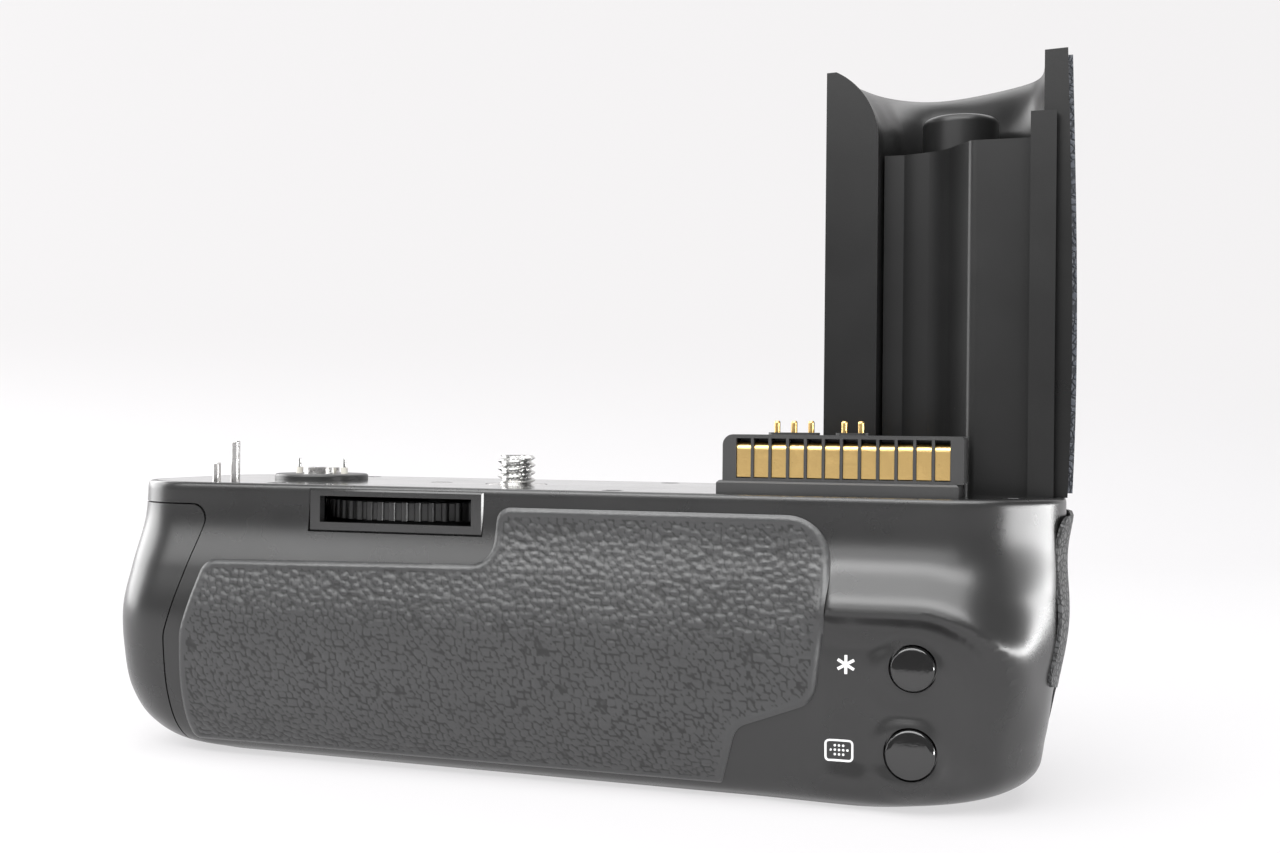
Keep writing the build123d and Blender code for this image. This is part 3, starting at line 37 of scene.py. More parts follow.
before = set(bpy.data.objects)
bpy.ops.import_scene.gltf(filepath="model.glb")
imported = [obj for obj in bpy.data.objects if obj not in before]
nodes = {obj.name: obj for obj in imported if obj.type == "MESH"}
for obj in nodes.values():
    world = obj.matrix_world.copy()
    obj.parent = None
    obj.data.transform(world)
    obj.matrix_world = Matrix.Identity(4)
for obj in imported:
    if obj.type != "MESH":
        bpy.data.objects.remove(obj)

# Sizes of the body in millimetres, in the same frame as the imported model

MM = 0.001
left_end = -63.4
right_end = 89.0
back_face = -20.3
front_face = 22.6
grip_front = 27.2
grip_start = 54.0
step_width = 8.0
body_height = 45.0
wall = 2.2
floor_wall = 1.8
edge_round = 0.7
plate_inset = 1.2
recess_depth = 1.7
corner_radii = (12.0, 16.0, 20.0, 10.0, 6.0, 10.0)
arc_steps = (18, 22, 40, 12, 10, 16)
line_steps = (190, 40, 30, 10, 110, 44)

# Depth below the top, then how far these stand out:
# the back's left, the back's right, left end, right end and front
body_swell = np.array(
    [
        (0.0, 0.0, 0.0, 0.0, 0.0, 0.0),
        (6.0, 0.4, 0.2, 0.2, 0.0, 0.1),
        (14.0, 2.7, 1.6, 1.1, 0.0, 0.5),
        (21.0, 4.1, 2.6, 1.9, -0.3, 0.9),
        (28.0, 3.9, 2.6, 1.7, -1.6, 1.1),
        (35.0, 2.4, 2.2, 1.0, -2.7, 0.8),
        (40.0, -0.2, 1.2, -0.8, -4.6, -0.5),
        (43.4, -3.6, -0.6, -4.0, -8.6, -3.2),
        (45.0, -7.5, -3.2, -8.5, -13.5, -6.5),
    ]
)

window_left = -25.6
window_right = 0.5
window_top = -1.7
window_bottom = -5.9
frame_side = 2.0
frame_above = 1.1
frame_below = 1.55
seam_points = [(-45.55, -3.45), (-51.65, -24.6)]
seam_radii = [2.6, 6.0]
far = 100.0

# Thumb buttons: X, Z, radius and the Y of the face
thumb_buttons = [(68.3, -23.8, 3.15, -23.0), (68.0, -36.0, 3.55, -22.3)]
button_gap = 0.25
button_lean = 0.075
button_foot = -3.5
button_flange = -2.7
flange_width = 0.7
rim_round = 0.45
face_crown = 0.12

# Thumb rest: the corner of the button panel that it runs round, its crest,
# and the collars round the buttons
panel_corner = (68.5, -29.4)
panel_rounding = 12.0
panel_sink = 1.5
crest_place = 1.6
crest_outer = 4.6
crest_inner = 1.6
crest_height = 2.6
collar_height = 0.65
collar_shift = (-0.6, -0.8)
foot_swell = 1.2

# Screws: places and lengths in the plate and in the floor, and the top of the camera screw
plate_screw_places = [(-36.0, -16.0), (-36.0, 18.6), (22.0, -16.0), (22.0, 18.6)]
plate_screw_places += [(81.5, -13.5), (85.0, 9.0)]
plate_screw_length = 6.4
bottom_screw_places = [(x, y) for x in (-30.0, 30.0) for y in (-6.8, 9.2)]
bottom_screw_length = 4.6
screw_sink = 0.05
screw_hole_radius = 1.7
screw_top = 4.9
screw_steps = 120

# Control face: side, drop and radius of the round holes, and the dial's pocket
control_holes = ((0.0, -3.0, 4.9), (9.2, 9.0, 2.5))
dial_pocket_place = (-4.3, 10.5, -4.6)
dial_pocket_radius = 6.3
dial_pocket_width = 8.6

# Magazine lock in the end cover: its axis, and the holes cut round it
lock_centre = (0, 1.2, -25.0)
lock_boss_radius = 10.6
knob_hole_radius = 8.3
knob_hole_start = 62.4
lock_shaft_radius = 2.06

# Attachment wheel and tripod socket
wheel_centre = (-13.7485, 0.2)
ridge_height = 2.9
ridge_middle = -4.05
socket_radius = 6.03
socket_height = 4.4

# Printed marks: the star's middle, reach and line, and the dotted frame
star_centre = (58.85, -23.8)
star_reach = 1.35
star_line = 0.42
frame_corners = [(56.0, -37.7), (59.8, -37.7), (59.8, -34.8), (56.0, -34.8)]
frame_line = 0.3
dot_centre = (57.9, -36.2)
dot_step = 0.6
dot_rows = ((-0.65, 3), (0.0, 5), (0.65, 3))

# Camera in metres; the floor's sweep follows its turn
camera_yaw = math.radians(16.1)
camera_pitch = math.radians(0.18)
camera_roll = 0.0105
camera_place = (0.0857, -0.2219, 0.0092)
camera_sensor = 36.0
camera_lens = 39.375

# Floor in metres: half width, front edge, where it bends up, the bend and the wall's top
floor_side = 1.6
floor_front = -0.9
bend_start = 0.35
bend_radius = 0.45
wall_top = 1.6

# Lamps in metres: name, place, target, width and height, and share of the lamp setting
lamps = (
    ("overhead", (0.02, -0.2, 0.75), (0.02, -0.01, 0.0), (0.9, 0.5), 1.0),
    ("front", (-0.05, -0.6, 0.6), (0.0, -0.01, 0.0), (1.1, 0.26), 1.3),
    ("low front", (-0.25, -0.75, 0.36), (0.0, -0.02, -0.01), (0.9, 0.16), 0.3),
    ("behind", (0.05, 0.45, 0.62), (0.02, 0.0, 0.0), (0.9, 0.35), 0.3),
    ("left", (-0.85, 0.2, 0.25), (-0.03, 0.0, 0.0), (1.0, 0.6), 1.7),
    ("right", (0.6, -0.02, -0.01), (0.08, 0.0, -0.035), (0.7, 0.07), 0.5),
)
room_colour = (0.9, 0.89, 0.9, 1.0)
room_strength = 0.2

# Slanted control face
control_turn = math.radians(42.0)
control_tilt = math.radians(16.0)
control_normal = np.array(
    [
        math.cos(control_tilt) * math.cos(control_turn),
        math.cos(control_tilt) * math.sin(control_turn),
        -math.sin(control_tilt),
    ]
)
control_across = np.array([-math.sin(control_turn), math.cos(control_turn), 0.0])
control_up = np.cross(control_normal, control_across)
control_radius = corner_radii[2]
control_origin = (
    np.array([right_end - control_radius, grip_front - control_radius, -27.0])
    + control_radius * np.array([math.cos(control_turn), math.sin(control_turn), 0.0])
    - 5.2 * control_normal
)

rear_leather_points = [
    (-45.2, -12.3),
    (4.5, -11.5),
    (4.9, -2.8),
    (56.2, -2.8),
    (56.5, -12.0),
    (54.6, -29.3),
    (43.2, -33.6),
    (40.5, -42.6),
    (-49.4, -42.6),
    (-48.6, -24.0),
]
rear_leather_radii = [3.0, 3.6, 2.2, 6.5, 12.0, 3.6, 3.2, 0.5, 1.0, 9.0]
front_leather_points = [(-44.0, -6.0), (42.0, -6.0), (42.0, -40.0), (-49.0, -40.0), (-49.0, -22.0)]
front_leather_radii = [3.0, 4.0, 4.0, 1.0, 8.0]

# Skins: the rounded rim, the raised edge line, where the grain starts, and how far a skin reaches under
rim_width = 0.55
line_place = 0.75
line_width = 0.32
line_height = 0.12
field_start = 0.9
field_end = 1.5
skin_under = 0.35

# Grain: spacing of its rows of cells and the largest random shift of a cell, both as shares of a cell
grain_row = 0.87
grain_shift = 0.42


class Wire:
    """A shader socket that takes part in Python expressions."""

    def __init__(self, graph, socket):
        self.graph = graph
        self.socket = socket

    def maths(self, operation, first, second):
        return self.graph.node("ShaderNodeMath", {"operation": operation}, {0: first, 1: second})

    def __add__(self, other):
        return self.maths("ADD", self, other)

    __radd__ = __add__

    def __sub__(self, other):
        return self.maths("SUBTRACT", self, other)

    def __rsub__(self, other):
        return self.maths("SUBTRACT", other, self)

    def __mul__(self, other):
        return self.maths("MULTIPLY", self, other)

    __rmul__ = __mul__


class Graph:
    """One material's node tree, with a single call that adds any node."""

    def __init__(self, name):
        self.material = bpy.data.materials.new(name)
        self.material.use_nodes = True
        self.tree = self.material.node_tree
        self.tree.nodes.clear()
        self.coordinates = self.node("ShaderNodeTexCoord", output="Object")

    def node(self, kind, settings=None, inputs=None, output=0):
        made = self.tree.nodes.new(kind)
        for key, value in (settings or {}).items():
            if key == "stops":
                while len(made.color_ramp.elements) < len(value):
                    made.color_ramp.elements.new(0.5)
                for element, (place, colour) in zip(made.color_ramp.elements, value):
                    element.position = place
                    element.color = colour
            else:
                setattr(made, key, value)
        for key, value in (inputs or {}).items():
            if isinstance(value, Wire):
                self.tree.links.new(value.socket, made.inputs[key])
            else:
                made.inputs[key].default_value = value
        return Wire(self, made.outputs[output]) if made.outputs else made

    def mix(self, factor, first, second):
        """Colour between two colours."""
        return self.node("ShaderNodeMix", {"data_type": "RGBA"}, {0: factor, 6: first, 7: second}, 2)

    def noise(self, scale, detail=3.0, roughness=0.5, vector=None):
        values = {"Vector": vector or self.coordinates, "Scale": scale}
        values.update({"Detail": detail, "Roughness": roughness})
        return self.node("ShaderNodeTexNoise", {}, values, 0)

    def step(self, value, low, high):
        """Value mapped smoothly from 0 at low to 1 at high."""
        values = {"Value": value, "From Min": low, "From Max": high}
        return self.node("ShaderNodeMapRange", {"interpolation_type": "SMOOTHSTEP"}, values)

    def bump(self, height, distance, strength=1.0):
        values = {"Strength": strength, "Distance": distance, "Height": height}
        return self.node("ShaderNodeBump", {}, values)

    def surface(self, **values):
        """Principled shader from names with underscores for spaces, joined to the output."""
        inputs = {key.replace("_", " "): value for key, value in values.items()}
        shader = self.node("ShaderNodeBsdfPrincipled", {}, inputs)
        self.node("ShaderNodeOutputMaterial", {}, {"Surface": shader})
        return self.material


def grey(level, warm=0.0):
    return (level * (1 + warm), level, level * (1 - warm), 1.0)


def moulded(name, colour, roughness, grain=400.0, depth=0.000006, dust=0.3, ior=1.6):
    """Moulded plastic: fine spark-eroded grain, uneven gloss, a little dust."""
    graph = Graph(name)
    fine = graph.noise(grain * 8, 2.0)
    cloud = graph.noise(60.0, 4.0)
    smears = graph.noise(160.0, 3.0, 0.5)
    values = {"Vector": graph.coordinates, "Scale": 520.0}
    specks = graph.node("ShaderNodeTexVoronoi", {}, values, "Distance")
    rare = graph.step(graph.noise(90.0, 1.0), 0.68, 0.76)
    dirt = (1 - graph.step(specks, 0.05, 0.11)) * rare * dust
    tone = graph.mix(graph.step(cloud, 0.3, 0.7), colour, [c * 1.12 for c in colour[:3]] + [1.0])
    return graph.surface(
        Base_Color=graph.mix(dirt, tone, (0.35, 0.34, 0.33, 1.0)),
        IOR=ior,
        Roughness=roughness + 0.08 * (cloud - 0.5) + 0.06 * (smears - 0.5) + 0.3 * dirt,
        Normal=graph.bump(fine, depth),
    )


def polished(name, colour, roughness):
    """Glossy plastic with faint smears."""
    graph = Graph(name)
    smears = graph.noise(350.0, 5.0, 0.65)
    cloud = graph.noise(120.0, 2.0)
    return graph.surface(
        Base_Color=graph.mix(cloud, colour, [c * 1.25 for c in colour[:3]] + [1.0]),
        IOR=1.75,
        Roughness=roughness + 0.12 * graph.step(smears, 0.45, 0.8),
        Normal=graph.bump(graph.noise(2500.0, 1.0), 0.000004),
    )


def metal(name, colour, roughness, stretch=(1.0, 1.0, 14.0), depth=0.000012):
    """Turned or plated metal with fine lines and small stains."""
    graph = Graph(name)
    lines = graph.node("ShaderNodeMapping", {}, {"Vector": graph.coordinates, "Scale": stretch})
    fine = graph.noise(2600.0, 3.0, 0.6, lines)
    stain = graph.step(graph.noise(500.0, 4.0), 0.5, 0.75)
    return graph.surface(
        Base_Color=graph.mix(stain * 0.5, colour, [c * 0.7 for c in colour[:3]] + [1.0]),
        Metallic=1.0,
        Roughness=roughness + 0.12 * fine + 0.1 * stain,
        Normal=graph.bump(fine, depth),
    )


def leather(name, colour, cell, relief):
    """Grained leather: warped cells with creases between them and a fine pore; the creases are darkened in
    colour as painted shade.
    """
    graph = Graph(name)
    values = {"Vector": graph.coordinates, "Scale": 420.0, "Detail": 2.0}
    warp = graph.node("ShaderNodeTexNoise", {}, values, "Color")
    centred = graph.node("ShaderNodeVectorMath", {"operation": "SUBTRACT"}, {0: warp, 1: (0.5, 0.5, 0.5)})
    small = graph.node("ShaderNodeVectorMath", {"operation": "SCALE"}, {0: centred, "Scale": 0.0011})
    place = graph.node("ShaderNodeVectorMath", {"operation": "ADD"}, {0: graph.coordinates, 1: small})
    settings = {"feature": "DISTANCE_TO_EDGE"}
    edge = graph.node("ShaderNodeTexVoronoi", settings, {"Vector": place, "Scale": 1 / cell}, "Distance")
    top = graph.step(edge, 0.02, 0.22)
    pore = graph.noise(5200.0, 3.0, 0.6)
    worn = graph.noise(70.0, 3.0)
    # Painted shade: the colour darkens to under half of the leather colour in the creases between cells.
    crease_shade = [c * 0.45 for c in colour[:3]] + [1.0]
    return graph.surface(
        Base_Color=graph.mix(top, crease_shade, graph.mix(worn, colour, [c * 1.3 for c in colour[:3]] + [1.0])),
        Roughness=0.56 - 0.14 * top + 0.1 * (worn - 0.5),
        Normal=graph.bump(top + 0.15 * pore, relief),
    )


def carved_leather(name, colour):
    """Leather whose creases are in the mesh and are read from its crease attribute; the colour darkens in
    the creases as painted shade.
    """
    graph = Graph(name)
    crease = graph.node("ShaderNodeAttribute", {"attribute_name": "crease"}, output="Fac")
    pore = graph.noise(4200.0, 4.0, 0.65)
    worn = graph.noise(70.0, 3.0)
    wrinkle = graph.noise(1500.0, 3.0, 0.6)
    top = graph.step(crease, 0.05, 0.55)
    # Painted shade: the colour darkens to under a third of the leather colour in the mesh's creases.
    crease_shade = [c * 0.3 for c in colour[:3]] + [1.0]
    return graph.surface(
        Base_Color=graph.mix(top, crease_shade, graph.mix(worn, colour, [c * 1.3 for c in colour[:3]] + [1.0])),
        IOR=1.6,
        Roughness=0.46 - 0.12 * top + 0.12 * (worn - 0.5) + 0.1 * (pore - 0.5),
        Normal=graph.bump(0.35 * pore + wrinkle, 0.00007, 0.8),
    )


def board_finish(name):
    """Lacquered circuit board with tracks under the mask."""
    graph = Graph(name)
    bricks = {"Vector": graph.coordinates, "Scale": 260.0, "Mortar Size": 0.12}
    tracks = graph.node("ShaderNodeTexBrick", {}, bricks, "Fac")
    return graph.surface(
        Base_Color=graph.mix(tracks, (0.02, 0.12, 0.05, 1), (0.05, 0.22, 0.09, 1)),
        Roughness=0.25 + 0.1 * graph.noise(400.0),
        Normal=graph.bump(tracks, 0.00003),
    )


def cell_finish(name):
    """Plain wrapped cell with a coloured band near one end of each cell."""
    graph = Graph(name)
    split = graph.node("ShaderNodeSeparateXYZ", {}, {"Vector": graph.coordinates}, "X")
    wave = graph.node("ShaderNodeMath", {"operation": "PINGPONG"}, {0: split + 0.2, 1: 0.0259})
    band = graph.step(wave, 0.0185, 0.0187)
    return graph.surface(
        Base_Color=graph.mix(band, (0.03, 0.035, 0.05, 1), (0.55, 0.36, 0.12, 1)),
        Roughness=0.28 + 0.12 * graph.noise(300.0),
        Metallic=0.25 * band,
    )


finishes = {}


def finish(name):
    """Material by name, made once."""
    makers = {
        "casing_black": lambda: moulded("casing_black", grey(0.015), 0.28),
        "plate_black": lambda: moulded("plate_black", grey(0.018), 0.09, depth=0.000001, dust=0.25),
        "liner_black": lambda: moulded("liner_black", grey(0.01), 0.34, ior=1.45),
        "tower_black": lambda: moulded("tower_black", grey(0.009), 0.3, ior=1.42),
        "connector_black": lambda: moulded("connector_black", grey(0.026), 0.42, dust=0.9),
        "bay_black": lambda: moulded("bay_black", grey(0.03), 0.5),
        "disc_black": lambda: moulded("disc_black", grey(0.02), 0.4),
        "wheel_black": lambda: moulded("wheel_black", grey(0.012), 0.33, depth=0.00001, dust=0.2),
        "button_black": lambda: polished("button_black", grey(0.008), 0.06),
        "leather_black": lambda: leather("leather_black", grey(0.05, -0.02), 0.0009, 0.00018),
        "tower_leather": lambda: leather("tower_leather", (0.075, 0.082, 0.097, 1), 0.0009, 0.00015),
        "carved_leather": lambda: carved_leather("carved_leather", grey(0.032, -0.015)),
        "steel": lambda: metal("steel", (0.62, 0.61, 0.60, 1), 0.2),
        "screw_steel": lambda: metal("screw_steel", (0.66, 0.66, 0.65, 1), 0.16),
        "dark_screw": lambda: metal("dark_screw", (0.05, 0.05, 0.055, 1), 0.3),
        "gold": lambda: metal("gold", (0.80, 0.55, 0.22, 1), 0.24, (1.0, 1.0, 1.0), 0.00002),
        "pale_bush": lambda: polished("pale_bush", (0.62, 0.60, 0.54, 1), 0.3),
        "shutter_metal": lambda: metal("shutter_metal", (0.45, 0.45, 0.46, 1), 0.28),
        "board_green": lambda: board_finish("board_green"),
        "cell_wrap": lambda: cell_finish("cell_wrap"),
        "print_white": lambda: moulded("print_white", (0.7, 0.7, 0.7, 1), 0.5, dust=0.0),
    }
    if name not in finishes:
        finishes[name] = makers[name]()
    return finishes[name]


# Mesh helpers; every outline and mesh below is in millimetres until it becomes an object


def smooth(value, low, high):
    """Smooth step from 0 at low to 1 at high, on numbers or arrays."""
    share = np.clip((value - low) / (high - low), 0.0, 1.0)
    return share * share * (3 - 2 * share)


def rounded_outline(points, radii, arcs, lines=None):
    """Closed outline with round corners; each corner and line has a fixed number of steps."""
    count = len(points)
    corners = [np.array(point, float) for point in points]
    stretches = []
    for index in range(count):
        here = corners[index]
        before = corners[index - 1] - here
        after = corners[(index + 1) % count] - here
        before /= np.linalg.norm(before)
        after /= np.linalg.norm(after)
        half = math.acos(max(-1.0, min(1.0, float(before @ after)))) / 2
        radius = radii[index]
        bisector = before + after
        bisector /= np.linalg.norm(bisector)
        centre = here + bisector * radius / math.sin(half)
        start = here + before * radius / math.tan(half)
        end = here + after * radius / math.tan(half)
        first = math.atan2(*(start - centre)[::-1])
        sweep = math.atan2(*(end - centre)[::-1]) - first
        sweep = (sweep + math.pi) % (2 * math.pi) - math.pi
        angles = first + sweep * np.linspace(0, 1, arcs[index] + 1)
        stretches.append(centre + radius * np.stack([np.cos(angles), np.sin(angles)], 1))
    outline = []
    for index in range(count):
        outline.append(stretches[index])
        steps = lines[index] if lines else 1
        if steps > 1:
            share = np.linspace(0, 1, steps + 1)[1:-1, None]
            following = stretches[(index + 1) % count][0]
            outline.append(stretches[index][-1] * (1 - share) + following * share)
    return np.concatenate(outline)


def swell_curve(count):
    """The body's swell, resampled smoothly at even steps along its side."""
    table = body_swell
    length = np.concatenate([[0], np.cumsum(np.hypot(np.diff(table[:, 0]), np.diff(table[:, 1])))])
    slope = np.gradient(table, length, axis=0)
    places = np.linspace(0, length[-1], count)
    index = np.clip(np.searchsorted(length, places, side="right") - 1, 0, len(table) - 2)
    width = (length[index + 1] - length[index])[:, None]
    share = ((places - length[index]) / width[:, 0])[:, None]
    a = (1 + 2 * share) * (1 - share) ** 2
    b = share * (1 - share) ** 2
    c = share**2 * (3 - 2 * share)
    d = share**2 * (share - 1)
    return a * table[index] + b * width * slope[index] + c * table[index + 1] + d * width * slope[index + 1]


side_curve = swell_curve(600)
no_swell = (0, 0, 0, 0, 0)


def body_outline(swell, inset):
    """Plan outline of the body, in steps that match from level to level."""
    back_left, back_right, left, right, front = swell
    x_left = left_end - left + inset
    x_right = right_end + right - inset
    points = [
        (x_left, back_face - back_left + inset),
        (x_right, back_face - back_right + inset),
        (x_right, grip_front + front - inset),
        (grip_start + inset, grip_front + front - inset),
        (grip_start - step_width + inset, front_face + front - inset),
        (x_left, front_face + front - inset),
    ]
    radii = [radius - inset for radius in corner_radii]
    radii[2] += right
    radii[4] = corner_radii[4] + inset
    return rounded_outline(points, radii, arc_steps, line_steps)


def back_relief(x, z):
    """How far the thumb rest, the button panel and the button collars stand out from the plain back."""
    across = x - panel_corner[0]
    up = z - panel_corner[1]
    outside = np.hypot(np.maximum(across, 0.0), np.maximum(up, 0.0))
    away = outside + np.minimum(np.maximum(across, up), 0.0) - panel_rounding
    spread = np.where(away > crest_place, crest_outer, crest_inner)
    crest = crest_height * np.exp(-(((away - crest_place) / spread) ** 2))
    panel = -panel_sink * smooth(-away, -0.8, 4.2) * (1 - smooth(-z, 37.0, 44.0))
    relief = (crest * (1 - smooth(-z, 19.0, 34.0)) + panel) * smooth(x, 52.5, 57.5)
    for centre_x, centre_z, radius, _ in thumb_buttons:
        reach = np.hypot(x - centre_x - collar_shift[0], z - centre_z - collar_shift[1])
        relief = relief + collar_height * (1 - smooth(reach, radius + 0.5, radius + 3.2))
    relief = relief + foot_swell * smooth(x, 44.0, 60.0) * np.exp(-(((z + 41.5) / 4.0) ** 2))
    return relief


def swell_at(z, column):
    """One column of the swell table at the given heights."""
    return np.interp(-z, side_curve[:, 0], side_curve[:, column])


def back_y(x, z):
    """Y of the body's back at a place in its straight stretch, relief included."""
    left = left_end - swell_at(z, 3)
    right = right_end + swell_at(z, 4)
    share = (x - left) / (right - left)
    return back_face - swell_at(z, 1) * (1 - share) - swell_at(z, 2) * share - back_relief(x, z)


def front_y(x, z):
    """Y of the body's front in its straight stretch left of the grip."""
    return front_face + swell_at(z, 5) + 0 * x


def control_clamp(points, limit, soft):
    """Moves points that stand past the slanted control face back onto it, with a soft edge."""
    away = (points - control_origin) @ control_normal - limit
    held = np.where(away < -soft, away, np.where(away > soft, 0.0, -((away - soft) ** 2) / (4 * soft)))
    return points + (held - away)[:, None] * control_normal


def new_piece(name, points, faces, material, sharp=32.0):
    """Object from points in millimetres, shaded smooth below the given angle."""
    mesh = bpy.data.meshes.new(name)
    mesh.from_pydata([tuple(point) for point in np.asarray(points) * MM], [], faces)
    mesh.update()
    mesh.materials.append(finish(material))
    piece = bpy.data.objects.new(name, mesh)
    bpy.context.scene.collection.objects.link(piece)
    shade(piece, sharp)
    return piece


def shade(piece, sharp=32.0):
    piece.data.shade_smooth()
    piece.data.set_sharp_from_angle(angle=math.radians(sharp))


def face_outwards(piece):
    """Makes the faces of a closed mesh point outwards."""
    work = bmesh.new()
    work.from_mesh(piece.data)
    bmesh.ops.recalc_face_normals(work, faces=work.faces)
    work.to_mesh(piece.data)
    work.free()


def ring_faces(ring_count, count):
    """Quads between rings of equal length, with a face closing each end."""
    faces = []
    for ring in range(ring_count - 1):
        low = ring * count
        for step in range(count):
            following = (step + 1) % count
            faces.append((low + step, low + following, low + count + following, low + count + step))
    faces.append(tuple(range(count - 1, -1, -1)))
    faces.append(tuple(range((ring_count - 1) * count, ring_count * count)))
    return faces


def lathe(name, profile, centre, direction, material, steps=64, sharp=32.0):
    """Turned piece from (radius, height) pairs along an axis, closed at both ends."""
    axis = Vector(direction).normalized()
    turn = axis.to_track_quat("Z", "Y").to_matrix()
    rings = []
    for radius, height in profile:
        for index in range(steps):
            angle = 2 * math.pi * index / steps
            place = turn @ Vector((radius * math.cos(angle), radius * math.sin(angle), height))
            rings.append(np.array(place) + np.array(centre))
    return new_piece(name, rings, ring_faces(len(profile), steps), material, sharp)


def prism(name, outline, low, high, upright):
    """Closed prism of an outline, upright along Y when the outline is in X and Z, or else along Z."""
    points = []
    for level in (low, high):
        for first, second in outline:
            points.append((first, level, second) if upright else (first, second, level))
    piece = new_piece(name, points, ring_faces(2, len(outline)), "casing_black")
    face_outwards(piece)
    return piece


def block(name, low, high):
    outline = [(low[0], low[2]), (high[0], low[2]), (high[0], high[2]), (low[0], high[2])]
    return prism(name, outline, low[1], high[1], True)


def plain_mesh(piece):
    """Turns the modifiers of a piece into its plain mesh and removes them."""
    graph = bpy.context.evaluated_depsgraph_get()
    made = bpy.data.meshes.new_from_object(piece.evaluated_get(graph))
    old = piece.data
    piece.modifiers.clear()
    piece.data = made
    bpy.data.meshes.remove(old)
    return piece


def carve(piece, tools, operation="DIFFERENCE"):
    """Cuts a piece with closed tool meshes, which are removed afterwards."""
    for tool in tools:
        cutter = piece.modifiers.new("cut", "BOOLEAN")
        cutter.object = tool
        cutter.operation = operation
        cutter.solver = "EXACT"
    plain_mesh(piece)
    for tool in tools:
        mesh = tool.data
        bpy.data.objects.remove(tool)
        bpy.data.meshes.remove(mesh)
    return piece


def joined(name, pieces):
    """One object from several, at the origin."""
    work = bmesh.new()
    materials = []
    for piece in pieces:
        start = len(work.faces)
        work.from_mesh(piece.data)
        work.faces.ensure_lookup_table()
        for material in piece.data.materials:
            if material not in materials:
                materials.append(material)
        for face in work.faces[start:]:
            face.material_index = materials.index(piece.data.materials[face.material_index])
    mesh = bpy.data.meshes.new(name)
    work.to_mesh(mesh)
    work.free()
    for material in materials:
        mesh.materials.append(material)
    for piece in pieces:
        bpy.data.objects.remove(piece)
    made = bpy.data.objects.new(name, mesh)
    bpy.context.scene.collection.objects.link(made)
    return made


class Tree:
    """A geometry node tree with named inputs and one call that adds any node."""

    def __init__(self, name, inputs):
        self.tree = bpy.data.node_groups.new(name, "GeometryNodeTree")
        self.tree.interface.new_socket("Geometry", in_out="INPUT", socket_type="NodeSocketGeometry")
        self.names = {}
        for title, kind, default in inputs:
            socket = self.tree.interface.new_socket(title, in_out="INPUT", socket_type=kind)
            socket.default_value = default
            self.names[title] = socket.identifier
        material = self.tree.interface.new_socket(
            "Material", in_out="INPUT", socket_type="NodeSocketMaterial"
        )
        self.names["Material"] = material.identifier
        self.tree.interface.new_socket("Geometry", in_out="OUTPUT", socket_type="NodeSocketGeometry")
        self.entry = self.tree.nodes.new("NodeGroupInput")

    def given(self, title):
        return self.entry.outputs[title]

    def node(self, kind, settings=None, inputs=None, output=0):
        made = self.tree.nodes.new(kind)
        for key, value in (settings or {}).items():
            setattr(made, key, value)
        for key, value in (inputs or {}).items():
            if isinstance(value, bpy.types.NodeSocket):
                self.tree.links.new(value, made.inputs[key])
            else:
                made.inputs[key].default_value = value
        return made.outputs[output] if made.outputs else made

    def close(self, geometry):
        """Realizes the instances, sets the material and joins the output."""
        real = self.node("GeometryNodeRealizeInstances", inputs={"Geometry": geometry})
        inputs = {"Geometry": real, "Material": self.given("Material")}
        painted = self.node("GeometryNodeSetMaterial", inputs=inputs)
        self.node("NodeGroupOutput", inputs={"Geometry": painted})

    def run(self, name, values, points=()):
        """Plain mesh object that the tree makes from the given values and base points."""
        mesh = bpy.data.meshes.new(name)
        mesh.from_pydata([tuple(point) for point in points], [], [])
        piece = bpy.data.objects.new(name, mesh)
        bpy.context.scene.collection.objects.link(piece)
        modifier = piece.modifiers.new("made", "NODES")
        modifier.node_group = self.tree
        for title, value in values.items():
            modifier[self.names[title]] = value
        plain_mesh(piece)
        shade(piece)
        return piece


# Sizes and colours that a user would change


class BodySettings(bpy.types.PropertyGroup):
    levels: IntProperty(
        name="Levels", description="Rings between the floor and the top edge", default=112, min=40
    )
    seam_gap: FloatProperty(
        name="Seam gap", description="Gap at the end cover's seam, mm", default=0.25, min=0.05
    )


class LeatherSettings(bpy.types.PropertyGroup):
    cell: FloatProperty(name="Cell", description="Width of one grain cell, mm", default=1.3, min=0.3)
    relief: FloatProperty(name="Relief", description="Depth of the creases, mm", default=0.21, min=0.0)
    spacing: FloatProperty(name="Spacing", description="Mesh step of the skins, mm", default=0.36, min=0.2)
    thickness: FloatProperty(
        name="Thickness", description="Height above the casing, mm", default=0.5, min=0.1
    )
    seed: IntProperty(name="Seed", description="Seed of the grain", default=11, min=0)


class WheelSettings(bpy.types.PropertyGroup):
    ridges: IntProperty(name="Ridges", description="Ridges round the attachment wheel", default=56, min=12)
    radius: FloatProperty(name="Radius", description="Radius over the ridges, mm", default=19.5, min=5.0)
    ridge: FloatProperty(name="Ridge width", description="Width of one ridge, mm", default=1.3, min=0.2)


class ThreadSettings(bpy.types.PropertyGroup):
    pitch: FloatProperty(
        name="Pitch", description="Rise of the thread in one turn, mm", default=1.27, min=0.2
    )
    radius: FloatProperty(name="Radius", description="Radius over the thread, mm", default=3.175, min=0.5)
    depth: FloatProperty(name="Depth", description="Depth of the thread, mm", default=0.68, min=0.1)


class StageSettings(bpy.types.PropertyGroup):
    lamp: FloatProperty(
        name="Lamp", description="Strength of the overhead lamp", default=6.0, min=0.0, unit="POWER"
    )
    floor: FloatProperty(
        name="Floor", description="Brightness of the floor as the camera sees it", default=0.84
    )
    wall: FloatProperty(
        name="Wall", description="Brightness of the wall as the camera sees it", default=0.9
    )


